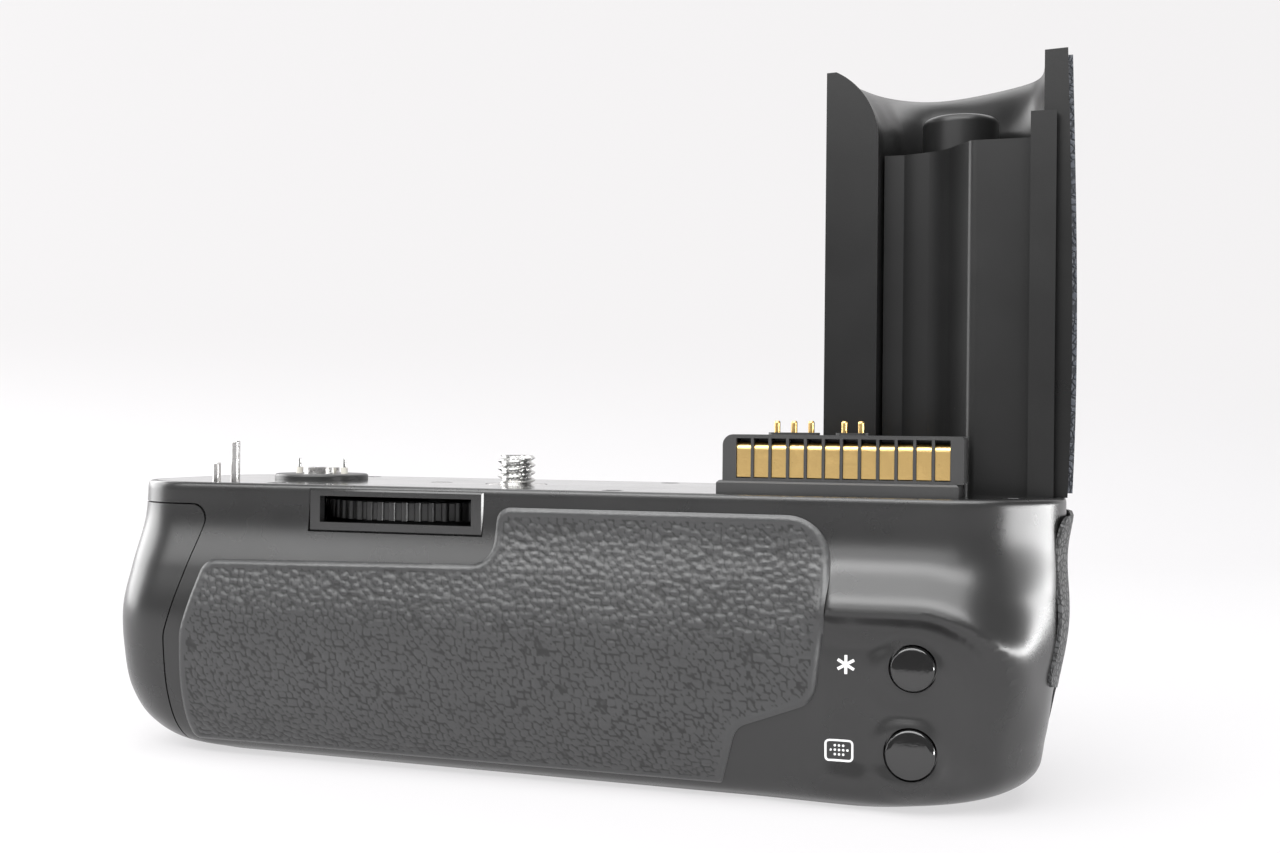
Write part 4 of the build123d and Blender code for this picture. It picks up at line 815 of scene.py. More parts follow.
def raised_back(points):
    """Moves the points of the back and of its right corner outwards by the relief."""
    radius = corner_radii[1]
    x, y, z = points.T
    centre_x = right_end + swell_at(z, 4) - radius
    centre_y = back_face - swell_at(z, 2) + radius
    across = np.maximum(x - centre_x, 0.0)
    behind = np.maximum(centre_y - y, 0.0)
    turn = np.arctan2(across, np.maximum(behind, 1e-6))
    rolled = np.where(across > 0, centre_x + radius * turn, x)
    raise_by = back_relief(rolled, z) * smooth(-y, 2.0, 9.0)
    moved = points.copy()
    moved[:, 0] += raise_by * np.sin(turn)
    moved[:, 1] -= raise_by * np.cos(turn)
    return moved


def body_rings(inset, levels, relief=True):
    """Rings of the closed body, from the floor up to the top edge."""
    curve = swell_curve(levels)
    rings = []
    for depth, *swell in curve[::-1]:
        if depth < edge_round:
            continue
        if depth > body_height - max(inset, 0.0) * floor_wall / wall + 1e-6:
            continue
        ring = body_outline(swell, inset)
        rings.append(np.column_stack([ring, np.full(len(ring), -depth)]))
    if inset:
        rings[0][:, 2] = -(body_height - floor_wall)
        for level in (-edge_round, 2.0):
            ring = body_outline(no_swell, inset)
            rings.append(np.column_stack([ring, np.full(len(ring), level)]))
    else:
        for angle in np.radians(np.linspace(0, 90, 6)):
            ring = body_outline(no_swell, edge_round * (1 - math.cos(angle)))
            rings.append(np.column_stack([ring, np.full(len(ring), -edge_round * (1 - math.sin(angle)))]))
    count = len(rings[0])
    points = np.concatenate(rings)
    if relief:
        points = raised_back(points)
    points = control_clamp(points, -inset, 0.5 if relief else 0.01)
    return points, len(rings), count


def body_solid(name, inset, levels):
    points, rings, count = body_rings(inset, levels, inset == 0)
    return new_piece(name, points, ring_faces(rings, count), "casing_black")


def seam_outline(gap):
    """Outline, in X and Z, of the region that belongs to the end cover."""
    points = [
        (-far, seam_points[0][1] + gap - 0.25),
        (seam_points[0][0] + gap - 0.25, seam_points[0][1] + gap - 0.25),
        (seam_points[1][0] + gap - 0.25, seam_points[1][1]),
        (seam_points[1][0] + gap - 0.25, -far),
        (-far, -far),
    ]
    return rounded_outline(points, [0.5] + seam_radii + [0.5, 0.5], (1, 10, 14, 1, 1))


def rod(name, radius, centre, direction, low, high, steps=48):
    return lathe(name, [(radius, low), (radius, high)], centre, direction, "casing_black", steps)


def control_at(side, drop, height):
    return control_origin + side * control_across - drop * control_up + height * control_normal


def add_slot_of(piece, body, slot, *replaced):
    """Says which body a finished piece rides on and hides the nodes that it stands for; the slot argument
    is not used.
    """
    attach(piece, body)
    if replaced:
        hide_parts(*replaced)


class MakeBody(bpy.types.Operator):
    """Makes the main housing's shell and the end cover from one swelling body, cut along the seam."""

    bl_idname = "booster.make_body"
    bl_label = "Housing and end cover"

    def execute(self, context):
        settings = context.scene.booster_body
        housing = body_solid("housing_shell", 0.0, settings.levels)
        cover = body_solid("end_cover_shell", 0.0, settings.levels)

        tools = [body_solid("hollow", wall, 24)]
        outline = body_outline(no_swell, plate_inset)
        tools.append(prism("recess", outline, -recess_depth, 3.0, False))
        tools.append(prism("seam", seam_outline(settings.seam_gap), -far, far, True))
        low = (window_left - frame_side, back_face - 6.0, window_bottom - frame_below)
        high = (window_right + frame_side, back_face + 9.0, window_top + frame_above)
        tools.append(block("window", low, high))
        for x, z, radius, face in thumb_buttons:
            tools.append(rod("hole", radius + button_gap, (x, face, z), (0, -1, 0), -8.0, 8.0))
        for side, drop, radius in control_holes:
            tools.append(rod("hole", radius, control_at(side, drop, 0), control_normal, -8.0, 8.0))
        pocket = control_at(*dial_pocket_place)
        tools.append(rod("dial", dial_pocket_radius, pocket, control_across, 0.0, dial_pocket_width))
        tools.append(rod("socket", socket_radius, (0, 0, -body_height), (0, 0, 1), -2.0, socket_height))
        for x, y in bottom_screw_places:
            tools.append(rod("screw", screw_hole_radius, (x, y, -body_height), (0, 0, 1), -2.0, 1.0))
        carve(housing, tools)
        shade(housing)
        add_slot_of(housing, "booster", "housing", "main_housing")

        hollow = body_solid("hollow", wall, 24)
        lid = block("lid", (-far, -far, seam_points[0][1] - wall - 0.25), (far, far, far))
        boss = rod("boss", lock_boss_radius, lock_centre, (-1, 0, 0), 60.0, 90.0)
        carve(hollow, [lid, boss])
        knob = rod("knob", knob_hole_radius, lock_centre, (-1, 0, 0), knob_hole_start, 90.0, 96)
        shaft = rod("shaft", lock_shaft_radius, lock_centre, (-1, 0, 0), 55.0, 70.0)
        carve(cover, [hollow, knob, shaft])
        carve(cover, [prism("seam", seam_outline(0.0), -far, far, True)], "INTERSECT")
        shade(cover)
        add_slot_of(cover, "magazine", "cover", "magazine_end_cover")
        return {"FINISHED"}


def side_length_at(depth):
    """Length along the swelling side from the top edge to a depth, and the lookup arrays."""
    steps = np.hypot(np.diff(side_curve[:, 0]), np.diff(side_curve[:, 1]))
    lengths = np.concatenate([[0], np.cumsum(steps)])
    return np.interp(depth, side_curve[:, 0], lengths), lengths


def distance_inside(outline, points):
    """Distance from each point to a closed outline, positive inside, with the nearest outline point."""
    span = np.roll(outline, -1, axis=0) - outline
    best = np.full(len(points), 1e9)
    nearest = np.zeros_like(points)
    inside = np.zeros(len(points), bool)
    for (x, y), (dx, dy) in zip(outline, span):
        rise = (y > points[:, 1]) != (y + dy > points[:, 1])
        with np.errstate(divide="ignore", invalid="ignore"):
            crossing = x + dx * (points[:, 1] - y) / (dy if dy else 1e-12)
        inside ^= rise & (points[:, 0] < crossing)
        share = ((points[:, 0] - x) * dx + (points[:, 1] - y) * dy) / max(dx * dx + dy * dy, 1e-12)
        share = np.clip(share, 0, 1)
        on_line = np.stack([x + share * dx, y + share * dy], 1)
        away = np.hypot(*(points - on_line).T)
        closer = away < best
        best[closer] = away[closer]
        nearest[closer] = on_line[closer]
    return np.where(inside, best, -best), nearest


def grain(points, cell, seed):
    """Crease pattern of grained leather: 0 in a crease and 1 on a cell's crown, one cell at a time; it
    shapes the skin and also places the painted crease shade.
    """
    random = np.random.default_rng(seed)
    low = points.min(0) - 3 * cell
    high = points.max(0) + 3 * cell
    columns = int((high[0] - low[0]) / cell) + 1
    rows = int((high[1] - low[1]) / (cell * grain_row)) + 1
    seeds = []
    for row in range(rows):
        for column in range(columns):
            shift = random.uniform(-grain_shift, grain_shift, 2) * cell
            place_x = low[0] + (column + 0.5 * (row % 2)) * cell + shift[0]
            seeds.append((place_x, low[1] + row * cell * grain_row + shift[1]))
    tree = kdtree.KDTree(len(seeds))
    for index, (x, y) in enumerate(seeds):
        tree.insert((x, y, 0.0), index)
    tree.balance()
    weight = random.uniform(0.82, 1.18, len(seeds))
    crease = np.zeros(len(points))
    tilt = random.uniform(-1, 1, (len(seeds), 2))
    lean = np.zeros(len(points))
    for index, (x, y) in enumerate(points):
        found = tree.find_n((x, y, 0.0), 2)
        edge = found[1][2] * weight[found[1][1]] - found[0][2] * weight[found[0][1]]
        crease[index] = edge / cell
        lean[index] = (tilt[found[0][1]] * ((x, y) - np.array(found[0][0][:2]))).sum() / cell
    return smooth(crease, 0.0, 0.42) * (0.85 + 0.3 * lean)


def leather_skin(name, outline, surface_y, outward, settings, bead):
    """Closed skin on the back or front of the body: crown, rounded rim, raised edge line and grain."""
    length, lengths = side_length_at(-outline[:, 1])
    flat = np.column_stack([outline[:, 0], length])
    low = flat.min(0) - settings.spacing
    high = flat.max(0) + settings.spacing
    columns = int((high[0] - low[0]) / settings.spacing) + 1
    rows = int((high[1] - low[1]) / settings.spacing) + 1
    grid_x, grid_s = np.meshgrid(
        low[0] + np.arange(columns) * settings.spacing, low[1] + np.arange(rows) * settings.spacing
    )
    points = np.column_stack([grid_x.ravel(), grid_s.ravel()])
    inside, nearest = distance_inside(flat, points)
    close = np.abs(inside) < settings.spacing * 0.72
    points[close] = nearest[close]
    inside[close] = 0.0
    kept = inside >= 0
    faces = []
    for row in range(rows - 1):
        for column in range(columns - 1):
            first = row * columns + column
            corners = [first, first + 1, first + columns + 1, first + columns]
            good = [corner for corner in corners if kept[corner]]
            if len(good) >= 3 and sum(inside[corner] for corner in good) > 1e-6:
                faces.append(good)
    used = sorted({corner for face in faces for corner in face})
    place = {corner: index for index, corner in enumerate(used)}
    faces = [[place[corner] for corner in face] for face in faces]
    points = points[used]
    inside = inside[used]
    crease = grain(points, settings.cell, settings.seed)
    rim = smooth(inside, 0.0, rim_width)
    line = np.exp(-(((inside - line_place) / line_width) ** 2)) * bead
    field = smooth(inside, field_start, field_end)
    height = settings.thickness * (0.45 + 0.55 * rim) - settings.relief * 0.75 * field + line * line_height
    height += settings.relief * crease * field
    depth = np.interp(points[:, 1], lengths, side_curve[:, 0])
    base = surface_y(points[:, 0], -depth)
    top = np.column_stack([points[:, 0], base + outward * height, -depth])
    under = np.column_stack([points[:, 0], base - outward * skin_under, -depth])
    count = len(points)
    edges = {}
    for face in faces:
        for first, second in zip(face, face[1:] + face[:1]):
            edges[(first, second)] = edges.get((first, second), 0) + 1
    rim_faces = []
    for first, second in edges:
        if (second, first) not in edges:
            rim_faces.append((second, first, first + count, second + count))
    shell = [tuple(face) for face in faces]
    shell += [tuple(corner + count for corner in face[::-1]) for face in faces]
    piece = new_piece(name, np.concatenate([top, under]), shell + rim_faces, "carved_leather", 50.0)
    face_outwards(piece)
    # The crease attribute also drives painted shade: the carved_leather material darkens its colour in the
    # creases.
    attribute = piece.data.attributes.new("crease", "FLOAT", "POINT")
    shown = np.where(field > 0.5, crease, 0.9)
    attribute.data.foreach_set("value", np.concatenate([shown, shown]).astype(np.float32))
    return piece


class MakeLeathers(bpy.types.Operator):
    """Makes the grained skins on the back and front of the body."""

    bl_idname = "booster.make_leathers"
    bl_label = "Leather skins"

    def execute(self, context):
        settings = context.scene.booster_leather
        skins = (
            ("rear_leather", rear_leather_points, rear_leather_radii, back_y, -1, 1.0),
            ("front_leather", front_leather_points, front_leather_radii, front_y, 1, 0.6),
        )
        for node, points, radii, surface_y, outward, bead in skins:
            outline = rounded_outline(points, radii, [8] * len(points))
            skin = leather_skin(f"{node}_skin", outline, surface_y, outward, settings, bead)
            add_slot_of(skin, "booster", "leather", node)
        return {"FINISHED"}


def turned_ring(name, profile, centre, material, steps):
    """Piece turned round an upright axis from a closed profile of (radius, height)."""
    points = []
    for index in range(steps):
        angle = 2 * math.pi * index / steps
        for radius, height in profile:
            across = radius * math.cos(angle)
            along = radius * math.sin(angle)
            points.append((centre[0] + across, centre[1] + along, height))
    count = len(profile)
    faces = []
    for index in range(steps):
        following = (index + 1) % steps
        for step in range(count):
            after = (step + 1) % count
            corners = (index * count + step, following * count + step)
            faces.append(corners + (following * count + after, index * count + after))
    piece = new_piece(name, points, faces, material)
    face_outwards(piece)
    shade(piece)
    return piece


def ridge_tree():
    """Geometry tree: round-topped ridges standing on a drum, from their count and sizes."""
    inputs = [
        ("Count", "NodeSocketInt", 56),
        ("Radius", "NodeSocketFloat", 0.0187),
        ("Width", "NodeSocketFloat", 0.0013),
        ("Height", "NodeSocketFloat", 0.0033),
    ]
    made = Tree("Ridges on a drum", inputs)
    inputs = {"Vertices": made.given("Count"), "Radius": made.given("Radius")}
    ring = made.node("GeometryNodeMeshCircle", {}, inputs)
    place = made.node("GeometryNodeInputPosition")
    turn = made.node("FunctionNodeAlignRotationToVector", {"axis": "X"}, {"Vector": place})
    half = made.node("ShaderNodeMath", {"operation": "MULTIPLY"}, {0: made.given("Width"), 1: 0.5})
    inputs = {"Vertices": 14, "Radius": half, "Depth": made.given("Height")}
    core = made.node("GeometryNodeMeshCylinder", {}, inputs, "Mesh")
    inputs = {"Points": ring, "Instance": core, "Rotation": turn}
    ridges = made.node("GeometryNodeInstanceOnPoints", {}, inputs)
    made.close(ridges)
    return made


def move_mesh(piece, offset):
    piece.data.transform(Matrix.Translation(Vector(offset) * MM))
    return piece


class MakeWheel(bpy.types.Operator):
    """Makes the attachment wheel: a drum with chunky round ridges."""

    bl_idname = "booster.make_wheel"
    bl_label = "Attachment wheel"

    def execute(self, context):
        settings = context.scene.booster_wheel
        outer = settings.radius - settings.ridge * 0.42
        profile = [(2.56, -1.8), (4.6, -1.8), (4.6, -5.6), (17.6, -5.6), (17.6, -2.7), (17.9, -2.4)]
        profile += [(outer - 0.3, -2.4), (outer, -2.7), (outer, -5.4), (outer - 0.3, -5.7), (18.0, -5.75)]
        profile += [(18.0, -6.8), (2.56, -6.8)]
        drum = turned_ring("drum", profile, wheel_centre, "wheel_black", 224)
        values = {
            "Count": settings.ridges,
            "Radius": (settings.radius - settings.ridge / 2) * MM,
            "Width": settings.ridge * MM,
            "Height": ridge_height * MM,
            "Material": finish("wheel_black"),
        }
        ridges = ridge_tree().run("ridges", values)
        move_mesh(ridges, (*wheel_centre, ridge_middle))
        wheel = joined("attachment_wheel_ridged", [drum, ridges])
        shade(wheel)
        add_slot_of(wheel, "attachment_wheel", "steel", "attachment_wheel")
        return {"FINISHED"}


class MakeScrew(bpy.types.Operator):
    """Makes the camera screw with a real helical thread."""

    bl_idname = "booster.make_screw"
    bl_label = "Camera screw"

    def execute(self, context):
        settings = context.scene.booster_thread
        steps = screw_steps
        levels = [(-5.3, 1.7), (-2.75, 1.7), (-2.7, 1.75), (-1.9, 1.75), (-1.85, 4.1), (-1.8, 4.2)]
        levels += [(-1.1, 4.2), (-1.05, 4.1), (-1.0, 2.95), (0.0, 2.95)]
        rings = []
        for height, radius in levels:
            rings.append((height, radius, False))
        for height in np.linspace(0.05, screw_top, 98):
            rings.append((float(height), settings.radius, True))
        points = []
        root = settings.radius - settings.depth
        for height, radius, threaded in rings:
            for index in range(steps):
                angle = 2 * math.pi * index / steps
                reach = radius
                if threaded:
                    phase = (height / settings.pitch - index / steps) % 1.0
                    flank = abs(phase - 0.5) * 2
                    share = min(1.0, max(0.0, (flank - 0.14) / 0.66))
                    reach = settings.radius - settings.depth * share
                    reach = min(reach, root + max(0.0, screw_top - height) * 1.1 + 0.15)
                    reach = min(reach, root + height * 0.9 + 0.2)
                points.append((reach * math.cos(angle), reach * math.sin(angle), height))
        for radius, height in ((root - 0.25, screw_top), (root - 0.6, 4.82), (0.5, 4.8), (0.2, 4.7)):
            for index in range(steps):
                angle = 2 * math.pi * index / steps
                points.append((radius * math.cos(angle), radius * math.sin(angle), height))
        faces = ring_faces(len(rings) + 4, steps)
        screw = new_piece("camera_screw_threaded", points, faces, "screw_steel", 38.0)
        add_slot_of(screw, "camera_screw", "bright_screw", "camera_screw")
        return {"FINISHED"}


def screw_tree():
    """Geometry tree: countersunk slotted screws at the points of a mesh, each turned by a seeded amount."""
    inputs = [
        ("Head radius", "NodeSocketFloat", 0.0016),
        ("Head depth", "NodeSocketFloat", 0.0009),
        ("Shank radius", "NodeSocketFloat", 0.0008),
        ("Length", "NodeSocketFloat", 0.0064),
        ("Slot width", "NodeSocketFloat", 0.0004),
        ("Slot depth", "NodeSocketFloat", 0.0004),
        ("Tilt", "NodeSocketVector", (0.0, 0.0, 0.0)),
        ("Seed", "NodeSocketInt", 3),
    ]
    made = Tree("Countersunk screws", inputs)
    values = {
        "Vertices": 40,
        "Radius Top": made.given("Head radius"),
        "Radius Bottom": made.given("Shank radius"),
        "Depth": made.given("Head depth"),
    }
    head = made.node("GeometryNodeMeshCone", {}, values, "Mesh")
    drop = made.node("ShaderNodeMath", {"operation": "MULTIPLY"}, {0: made.given("Head depth"), 1: -1.0})
    down = made.node("ShaderNodeCombineXYZ", {}, {"Z": drop})
    head = made.node("GeometryNodeTransform", {}, {"Geometry": head, "Translation": down})
    wide = made.node("ShaderNodeMath", {"operation": "MULTIPLY"}, {0: made.given("Head radius"), 1: 1.6})
    deep = made.node("ShaderNodeMath", {"operation": "MULTIPLY"}, {0: made.given("Slot depth"), 1: 2.0})
    size = made.node("ShaderNodeCombineXYZ", {}, {"X": wide, "Y": made.given("Slot width"), "Z": deep})
    slot = made.node("GeometryNodeMeshCube", {}, {"Size": size}, "Mesh")
    cross = made.node("GeometryNodeTransform", {}, {"Geometry": slot, "Rotation": (0.0, 0.0, math.pi / 2)})
    cut = made.tree.nodes.new("GeometryNodeMeshBoolean")
    cut.operation = "DIFFERENCE"
    cut.solver = "EXACT"
    made.tree.links.new(head, cut.inputs[0])
    made.tree.links.new(slot, cut.inputs[1])
    made.tree.links.new(cross, cut.inputs[1])
    length = made.node("ShaderNodeMath", {"operation": "SUBTRACT"}, {0: made.given("Length"), 1: 0.0009})
    values = {"Vertices": 24, "Radius": made.given("Shank radius"), "Depth": length}
    shank = made.node("GeometryNodeMeshCylinder", {}, values, "Mesh")
    middle = made.node("ShaderNodeMath", {"operation": "MULTIPLY"}, {0: length, 1: -0.5})
    lower = made.node("ShaderNodeMath", {"operation": "ADD"}, {0: middle, 1: drop})
    shank_place = made.node("ShaderNodeCombineXYZ", {}, {"Z": lower})
    shank = made.node("GeometryNodeTransform", {}, {"Geometry": shank, "Translation": shank_place})
    whole = made.tree.nodes.new("GeometryNodeJoinGeometry")
    made.tree.links.new(cut.outputs["Mesh"], whole.inputs[0])
    made.tree.links.new(shank, whole.inputs[0])
    settings = {"data_type": "FLOAT"}
    turn = made.node("FunctionNodeRandomValue", settings, {2: 0.0, 3: 3.1, "Seed": made.given("Seed")}, 1)
    spin = made.node("ShaderNodeCombineXYZ", {}, {"Z": turn})
    values = {"Points": made.entry.outputs["Geometry"], "Instance": whole.outputs[0], "Rotation": spin}
    screws = made.node("GeometryNodeInstanceOnPoints", {}, values)
    values = {"Instances": screws, "Rotation": made.given("Tilt")}
    tilted = made.node("GeometryNodeRotateInstances", {}, values)
    made.close(tilted)
    return made


class MakeScrews(bpy.types.Operator):
    """Makes the small countersunk screws of the top plate and the floor."""

    bl_idname = "booster.make_screws"
    bl_label = "Small screws"

    def execute(self, context):
        tree = screw_tree()
        points = [(x * MM, y * MM, -screw_sink * MM) for x, y in plate_screw_places]
        values = {"Length": plate_screw_length * MM, "Material": finish("dark_screw")}
        top = tree.run("plate_screw_set", values, points)
        add_slot_of(top, "booster", "dark_metal", "plate_screws")
        points = [(x * MM, y * MM, (screw_sink - body_height) * MM) for x, y in bottom_screw_places]
        values = {"Length": bottom_screw_length * MM, "Tilt": (math.pi, 0.0, 0.0), "Seed": 8}
        values["Material"] = finish("dark_screw")
        bottom = tree.run("bottom_screw_set", values, points)
        add_slot_of(bottom, "booster", "dark_metal", "bottom_screws")
        return {"FINISHED"}


class MakeButtons(bpy.types.Operator):
    """Makes the two glossy thumb buttons with rounded rims and slightly crowned faces."""

    bl_idname = "booster.make_buttons"
    bl_label = "Thumb buttons"

    def execute(self, context):
        for name, (x, z, radius, face) in zip(("upper", "lower"), thumb_buttons):
            flange = radius + flange_width
            profile = [(0.3, button_foot), (flange, button_foot), (flange, button_flange)]
            profile += [(radius, button_flange), (radius, -0.5)]
            for angle in np.radians(np.linspace(10, 90, 7)):
                profile.append((radius - rim_round * (1 - math.cos(angle)), -0.5 + 0.5 * math.sin(angle)))
            for share in np.linspace(0.08, 0.94, 16):
                reach = (radius - rim_round) * (1 - share)
                profile.append((reach, face_crown * (1 - (reach / radius) ** 2)))
            piece = lathe(f"{name}_thumb_cap", profile, (x, face, z), (0, -1, 0), "button_black", 96, 40.0)
            for vertex in piece.data.vertices:
                if vertex.co.y < (face + 0.6) * MM:
                    vertex.co.y += (vertex.co.z - z * MM) * button_lean
            add_slot_of(piece, f"{name}_thumb_button", "button", f"{name}_thumb_button")
        return {"FINISHED"}


def dot_tree():
    """Geometry tree: thin round dots at the points of a mesh, facing along minus Y."""
    inputs = [("Radius", "NodeSocketFloat", 0.0002), ("Thickness", "NodeSocketFloat", 0.00005)]
    made = Tree("Printed dots", inputs)
    values = {"Vertices": 16, "Radius": made.given("Radius"), "Depth": made.given("Thickness")}
    dot = made.node("GeometryNodeMeshCylinder", {}, values, "Mesh")
    values = {"Points": made.entry.outputs["Geometry"], "Instance": dot}
    values["Rotation"] = (math.pi / 2, 0.0, 0.0)
    dots = made.node("GeometryNodeInstanceOnPoints", {}, values)
    made.close(dots)
    return made


def mark_bar(start, end, width):
    """Thin printed bar on the back, from one X and Z place to another, following the surface."""
    steps = 8
    start = np.array(start, float)
    end = np.array(end, float)
    along = (end - start) / np.linalg.norm(end - start)
    aside = np.array([-along[1], along[0]]) * width / 2
    points = []
    for lift in (0.03, -0.05):
        for step in range(steps + 1):
            centre = start + (end - start) * step / steps
            for side in (-1, 1):
                x, z = centre + side * aside
                points.append((x, float(back_y(np.array(x), np.array(z))) - lift, z))
    row = 2 * (steps + 1)
    faces = []
    for step in range(steps):
        low = 2 * step
        faces.append((low, low + 1, low + 3, low + 2))
        faces.append((row + low, row + low + 2, row + low + 3, row + low + 1))
        faces.append((low, low + 2, row + low + 2, row + low))
        faces.append((low + 1, row + low + 1, row + low + 3, low + 3))
    faces.append((0, row, row + 1, 1))
    faces.append((row - 2, row - 1, 2 * row - 1, 2 * row - 2))
    bar = new_piece("bar", points, faces, "print_white")
    face_outwards(bar)
    return bar


class MakeMarks(bpy.types.Operator):
    """Makes the plain printed marks beside the thumb buttons: a star of three bars and a frame of dots."""

    bl_idname = "booster.make_marks"
    bl_label = "Printed marks"

    def execute(self, context):
        bars = []
        for turn in (90.0, 30.0, 150.0):
            reach = np.array([math.cos(math.radians(turn)), math.sin(math.radians(turn))]) * star_reach
            middle = np.array(star_centre)
            bars.append(mark_bar(middle - reach, middle + reach, star_line))
        outline = rounded_outline(frame_corners, [0.5] * 4, [5] * 4)
        for first, second in zip(outline, np.roll(outline, -1, axis=0)):
            extra = (second - first) / np.linalg.norm(second - first) * 0.02
            bars.append(mark_bar(first - extra, second + extra, frame_line))
        dots = []
        for row, count in dot_rows:
            for column in range(count):
                x = dot_centre[0] + dot_step * (column - (count - 1) / 2)
                z = dot_centre[1] + row
                y = float(back_y(np.array(x), np.array(z)))
                dots.append((x * MM, y * MM, z * MM))
        values = {"Radius": 0.18 * MM, "Thickness": 0.07 * MM, "Material": finish("print_white")}
        bars.append(dot_tree().run("dots", values, dots))
        marks = joined("thumb_marks", bars)
        add_slot_of(marks, "booster", "button")
        return {"FINISHED"}


node_finishes = {
    "plate_black": ["top_plate", "window_frame"],
    "tower_black": ["tower_shell", "shutter_collar"],
    "liner_black": ["tower_liner", "inner_post"],
    "connector_black": ["connector_base", "connector_block"],
    "disc_black": ["contact_disc"],
    "wheel_black": ["control_dial", "power_lever", "lock_knob"],
    "button_black": ["upper_thumb_button", "lower_thumb_button", "front_small_button"],
    "casing_black": [
        "main_housing", "magazine_end_cover", "thumb_switches", "control_switches", "board_parts",
    ],
    "leather_black": ["rear_leather", "front_leather", "grip_leather"],
    "tower_leather": ["tower_leather"],
    "steel": [
        "screw_bush", "long_locating_pin", "short_locating_pin", "contact_hub",
        "tripod_socket", "wheel_axle",
    ],
    "screw_steel": [
        "camera_screw", "screw_pinion", "screw_retainer", "power_pins", "dial_axle", "lock_bolt",
    ],
    "dark_screw": ["plate_screws", "bottom_screws", "tower_screws", "board_screws", "attachment_wheel"],
    "gold": ["connector_contacts", "signal_pins", "bay_contacts", "cell_contacts"],
    "pale_bush": ["pin_bushes"],
    "shutter_metal": ["shutter_button"],
    "board_green": ["main_board", "thumb_board", "control_board"],
    "bay_black": ["battery_bay", "magazine_frame"],
    "cell_wrap": ["battery_cells"],
}


class PaintNodes(bpy.types.Operator):
    """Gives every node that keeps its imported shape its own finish."""

    bl_idname = "booster.paint_nodes"
    bl_label = "Finishes of the packed nodes"

    def execute(self, context):
        painted = set()
        for material, names in node_finishes.items():
            for name in names:
                mesh = nodes[name].data
                mesh.materials.clear()
                mesh.materials.append(finish(material))
                painted.add(name)
        missing = sorted(set(nodes) - painted)
        if missing:
            raise RuntimeError(f"no finish for {missing}")
        return {"FINISHED"}


def area_lamp(name, place, target, size, power):
    lamp = bpy.data.lights.new(name, "AREA")
    lamp.shape = "RECTANGLE"
    lamp.size, lamp.size_y = size
    lamp.energy = power
    holder = bpy.data.objects.new(name, lamp)
    bpy.context.scene.collection.objects.link(holder)
    holder.location = place
    holder.rotation_euler = (Vector(target) - Vector(place)).to_track_quat("-Z", "Y").to_euler()
    return holder


def seen_directly(graph):
    """One on camera, glossy and transmission rays, or else zero."""
    path = graph.tree.nodes.new("ShaderNodeLightPath")
    total = 0.0
    for output in ("Is Camera Ray", "Is Glossy Ray", "Is Transmission Ray"):
        total = Wire(graph, path.outputs[output]) + total
    return graph.node("ShaderNodeMath", {"operation": "MINIMUM"}, {0: total, 1: 1.0})


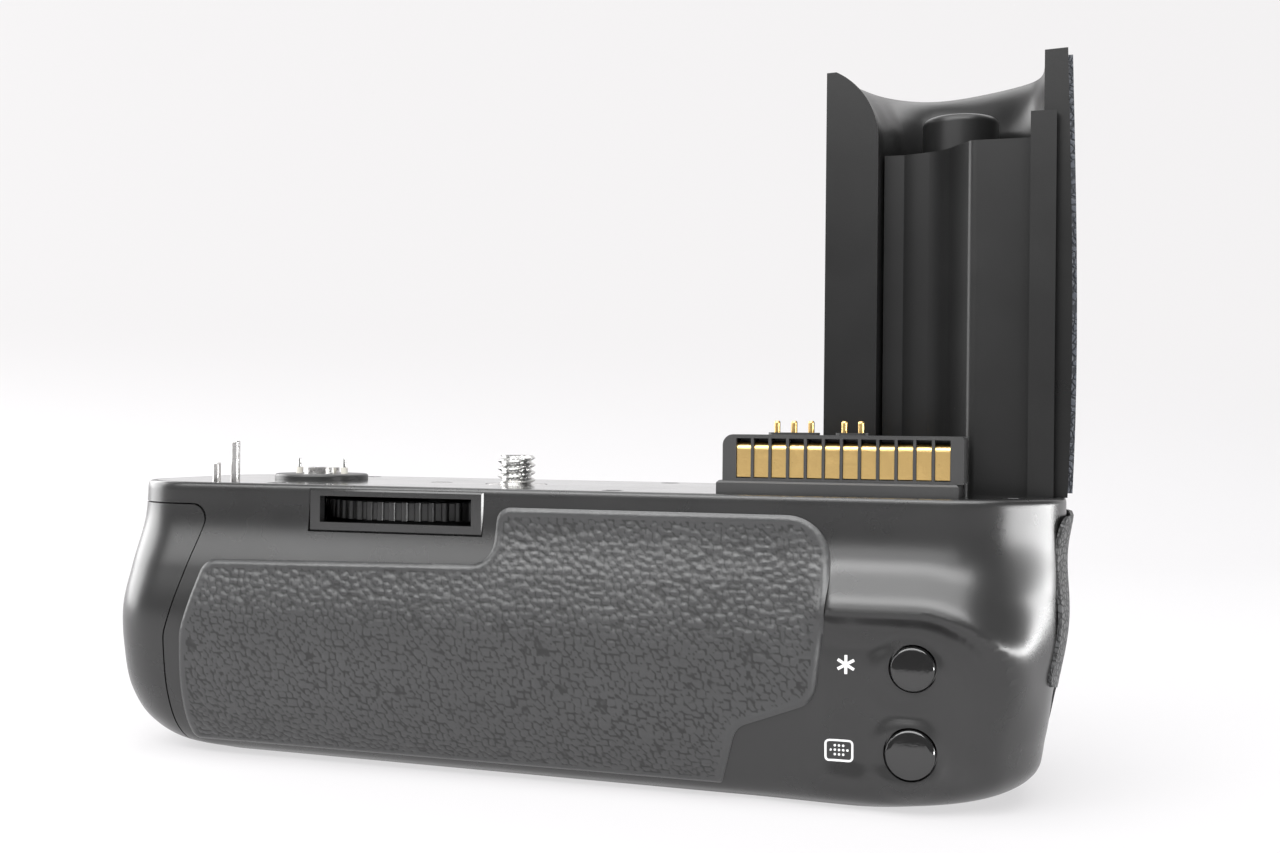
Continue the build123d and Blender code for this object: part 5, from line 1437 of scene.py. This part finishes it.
class MakeStage(bpy.types.Operator):
    """Makes the pale floor and wall, the soft lamps and the camera."""

    bl_idname = "booster.make_stage"
    bl_label = "Stage, lamps and camera"

    def execute(self, context):
        settings = context.scene.booster_stage
        self.make_sweep(settings)
        self.make_lamps(settings)
        self.make_camera(context)
        context.scene.view_settings.view_transform = "Standard"
        return {"FINISHED"}

    def make_sweep(self, settings):
        """Floor that curves up into a wall, turned square to the camera."""
        turn = Matrix.Rotation(camera_yaw, 3, "Z")
        profile = [(floor_front, 0.0), (bend_start, 0.0)]
        for angle in np.radians(np.linspace(0, 90, 24)):
            along = bend_start + bend_radius * math.sin(angle)
            profile.append((along, bend_radius * (1 - math.cos(angle))))
        profile.append((bend_start + bend_radius, wall_top))
        points = []
        for forward, height in profile:
            for side in (-floor_side, floor_side):
                place = turn @ Vector((side, forward, 0.0))
                points.append((place.x, place.y, height - body_height * MM - 0.0001))
        faces = [(2 * i, 2 * i + 1, 2 * i + 3, 2 * i + 2) for i in range(len(profile) - 1)]
        mesh = bpy.data.meshes.new("floor")
        mesh.from_pydata(points, [], faces)
        mesh.shade_smooth()
        floor = bpy.data.objects.new("floor", mesh)
        bpy.context.scene.collection.objects.link(floor)
        graph = Graph("pale_floor")
        height = graph.node("ShaderNodeSeparateXYZ", {}, {"Vector": graph.coordinates}, "Z")
        rise = graph.step(height, -0.045, 0.08)
        near = (0.83, 0.82, 0.83, 1.0)
        shade_wall = (settings.wall, settings.wall * 0.985, settings.wall * 0.99, 1.0)
        paper_colour = graph.mix(rise, near, (0.8, 0.79, 0.8, 1.0))
        paper = graph.node("ShaderNodeBsdfDiffuse", {}, {"Color": paper_colour})
        shade_floor = (settings.floor, settings.floor * 0.99, settings.floor, 1.0)
        glow_colour = graph.mix(rise, shade_floor, shade_wall)
        glow = graph.node("ShaderNodeEmission", {}, {"Color": glow_colour, "Strength": 1.0})
        direct = seen_directly(graph)
        share = direct * (0.75 + 0.22 * rise)
        both = graph.node("ShaderNodeMixShader", {}, {0: share, 1: paper, 2: glow})
        graph.node("ShaderNodeOutputMaterial", {}, {"Surface": both})
        mesh.materials.append(graph.material)

    def make_lamps(self, settings):
        for name, place, target, size, share in lamps:
            area_lamp(name, place, target, size, settings.lamp * share)
        world = bpy.data.worlds.new("room")
        bpy.context.scene.world = world
        world.use_nodes = True
        room = world.node_tree.nodes["Background"]
        room.inputs["Color"].default_value = room_colour
        room.inputs["Strength"].default_value = room_strength

    def make_camera(self, context):
        """Camera where the photograph's perspective puts it."""
        right = Vector((math.cos(camera_yaw), math.sin(camera_yaw), 0.0))
        level = Vector((-math.sin(camera_yaw), math.cos(camera_yaw), 0.0))
        forward = math.cos(camera_pitch) * level + math.sin(camera_pitch) * Vector((0.0, 0.0, 1.0))
        above = right.cross(forward)
        across = math.cos(camera_roll) * right + math.sin(camera_roll) * above
        upward = across.cross(forward)
        camera = bpy.data.cameras.new("camera")
        camera.sensor_width = camera_sensor
        camera.lens = camera_lens
        camera.clip_start = 0.01
        holder = bpy.data.objects.new("camera", camera)
        context.scene.collection.objects.link(holder)
        turn = Matrix((across, upward, -forward)).transposed().to_4x4()
        holder.matrix_world = Matrix.Translation(camera_place) @ turn
        context.scene.camera = holder


class BoosterPanel(bpy.types.Panel):
    """Lists the booster's pieces in the sidebar."""

    bl_idname = "VIEW3D_PT_booster"
    bl_label = "Camera power booster"
    bl_space_type = "VIEW_3D"
    bl_region_type = "UI"
    bl_category = "Booster"

    def draw(self, context):
        for owner in setting_names:
            box = self.layout.box()
            group = getattr(context.scene, owner)
            for name in group.bl_rna.properties.keys():
                if name not in ("rna_type", "name"):
                    box.prop(group, name)
        for operator in operators:
            self.layout.operator(operator.bl_idname)


setting_names = {
    "booster_body": BodySettings,
    "booster_leather": LeatherSettings,
    "booster_wheel": WheelSettings,
    "booster_thread": ThreadSettings,
    "booster_stage": StageSettings,
}
operators = [
    PaintNodes,
    MakeBody,
    MakeLeathers,
    MakeWheel,
    MakeScrew,
    MakeScrews,
    MakeButtons,
    MakeMarks,
    MakeStage,
]


def register():
    for name, group in setting_names.items():
        bpy.utils.register_class(group)
        setattr(bpy.types.Scene, name, PointerProperty(type=group))
    for operator in operators:
        bpy.utils.register_class(operator)
    bpy.utils.register_class(BoosterPanel)


def unregister():
    bpy.utils.unregister_class(BoosterPanel)
    for operator in reversed(operators):
        bpy.utils.unregister_class(operator)
    for name, group in setting_names.items():
        delattr(bpy.types.Scene, name)
        bpy.utils.unregister_class(group)


def main():
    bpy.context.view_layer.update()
    register()
    for operator in operators:
        group, name = operator.bl_idname.split(".")
        getattr(getattr(bpy.ops, group), name)()


if __name__ == "__main__":
    main()
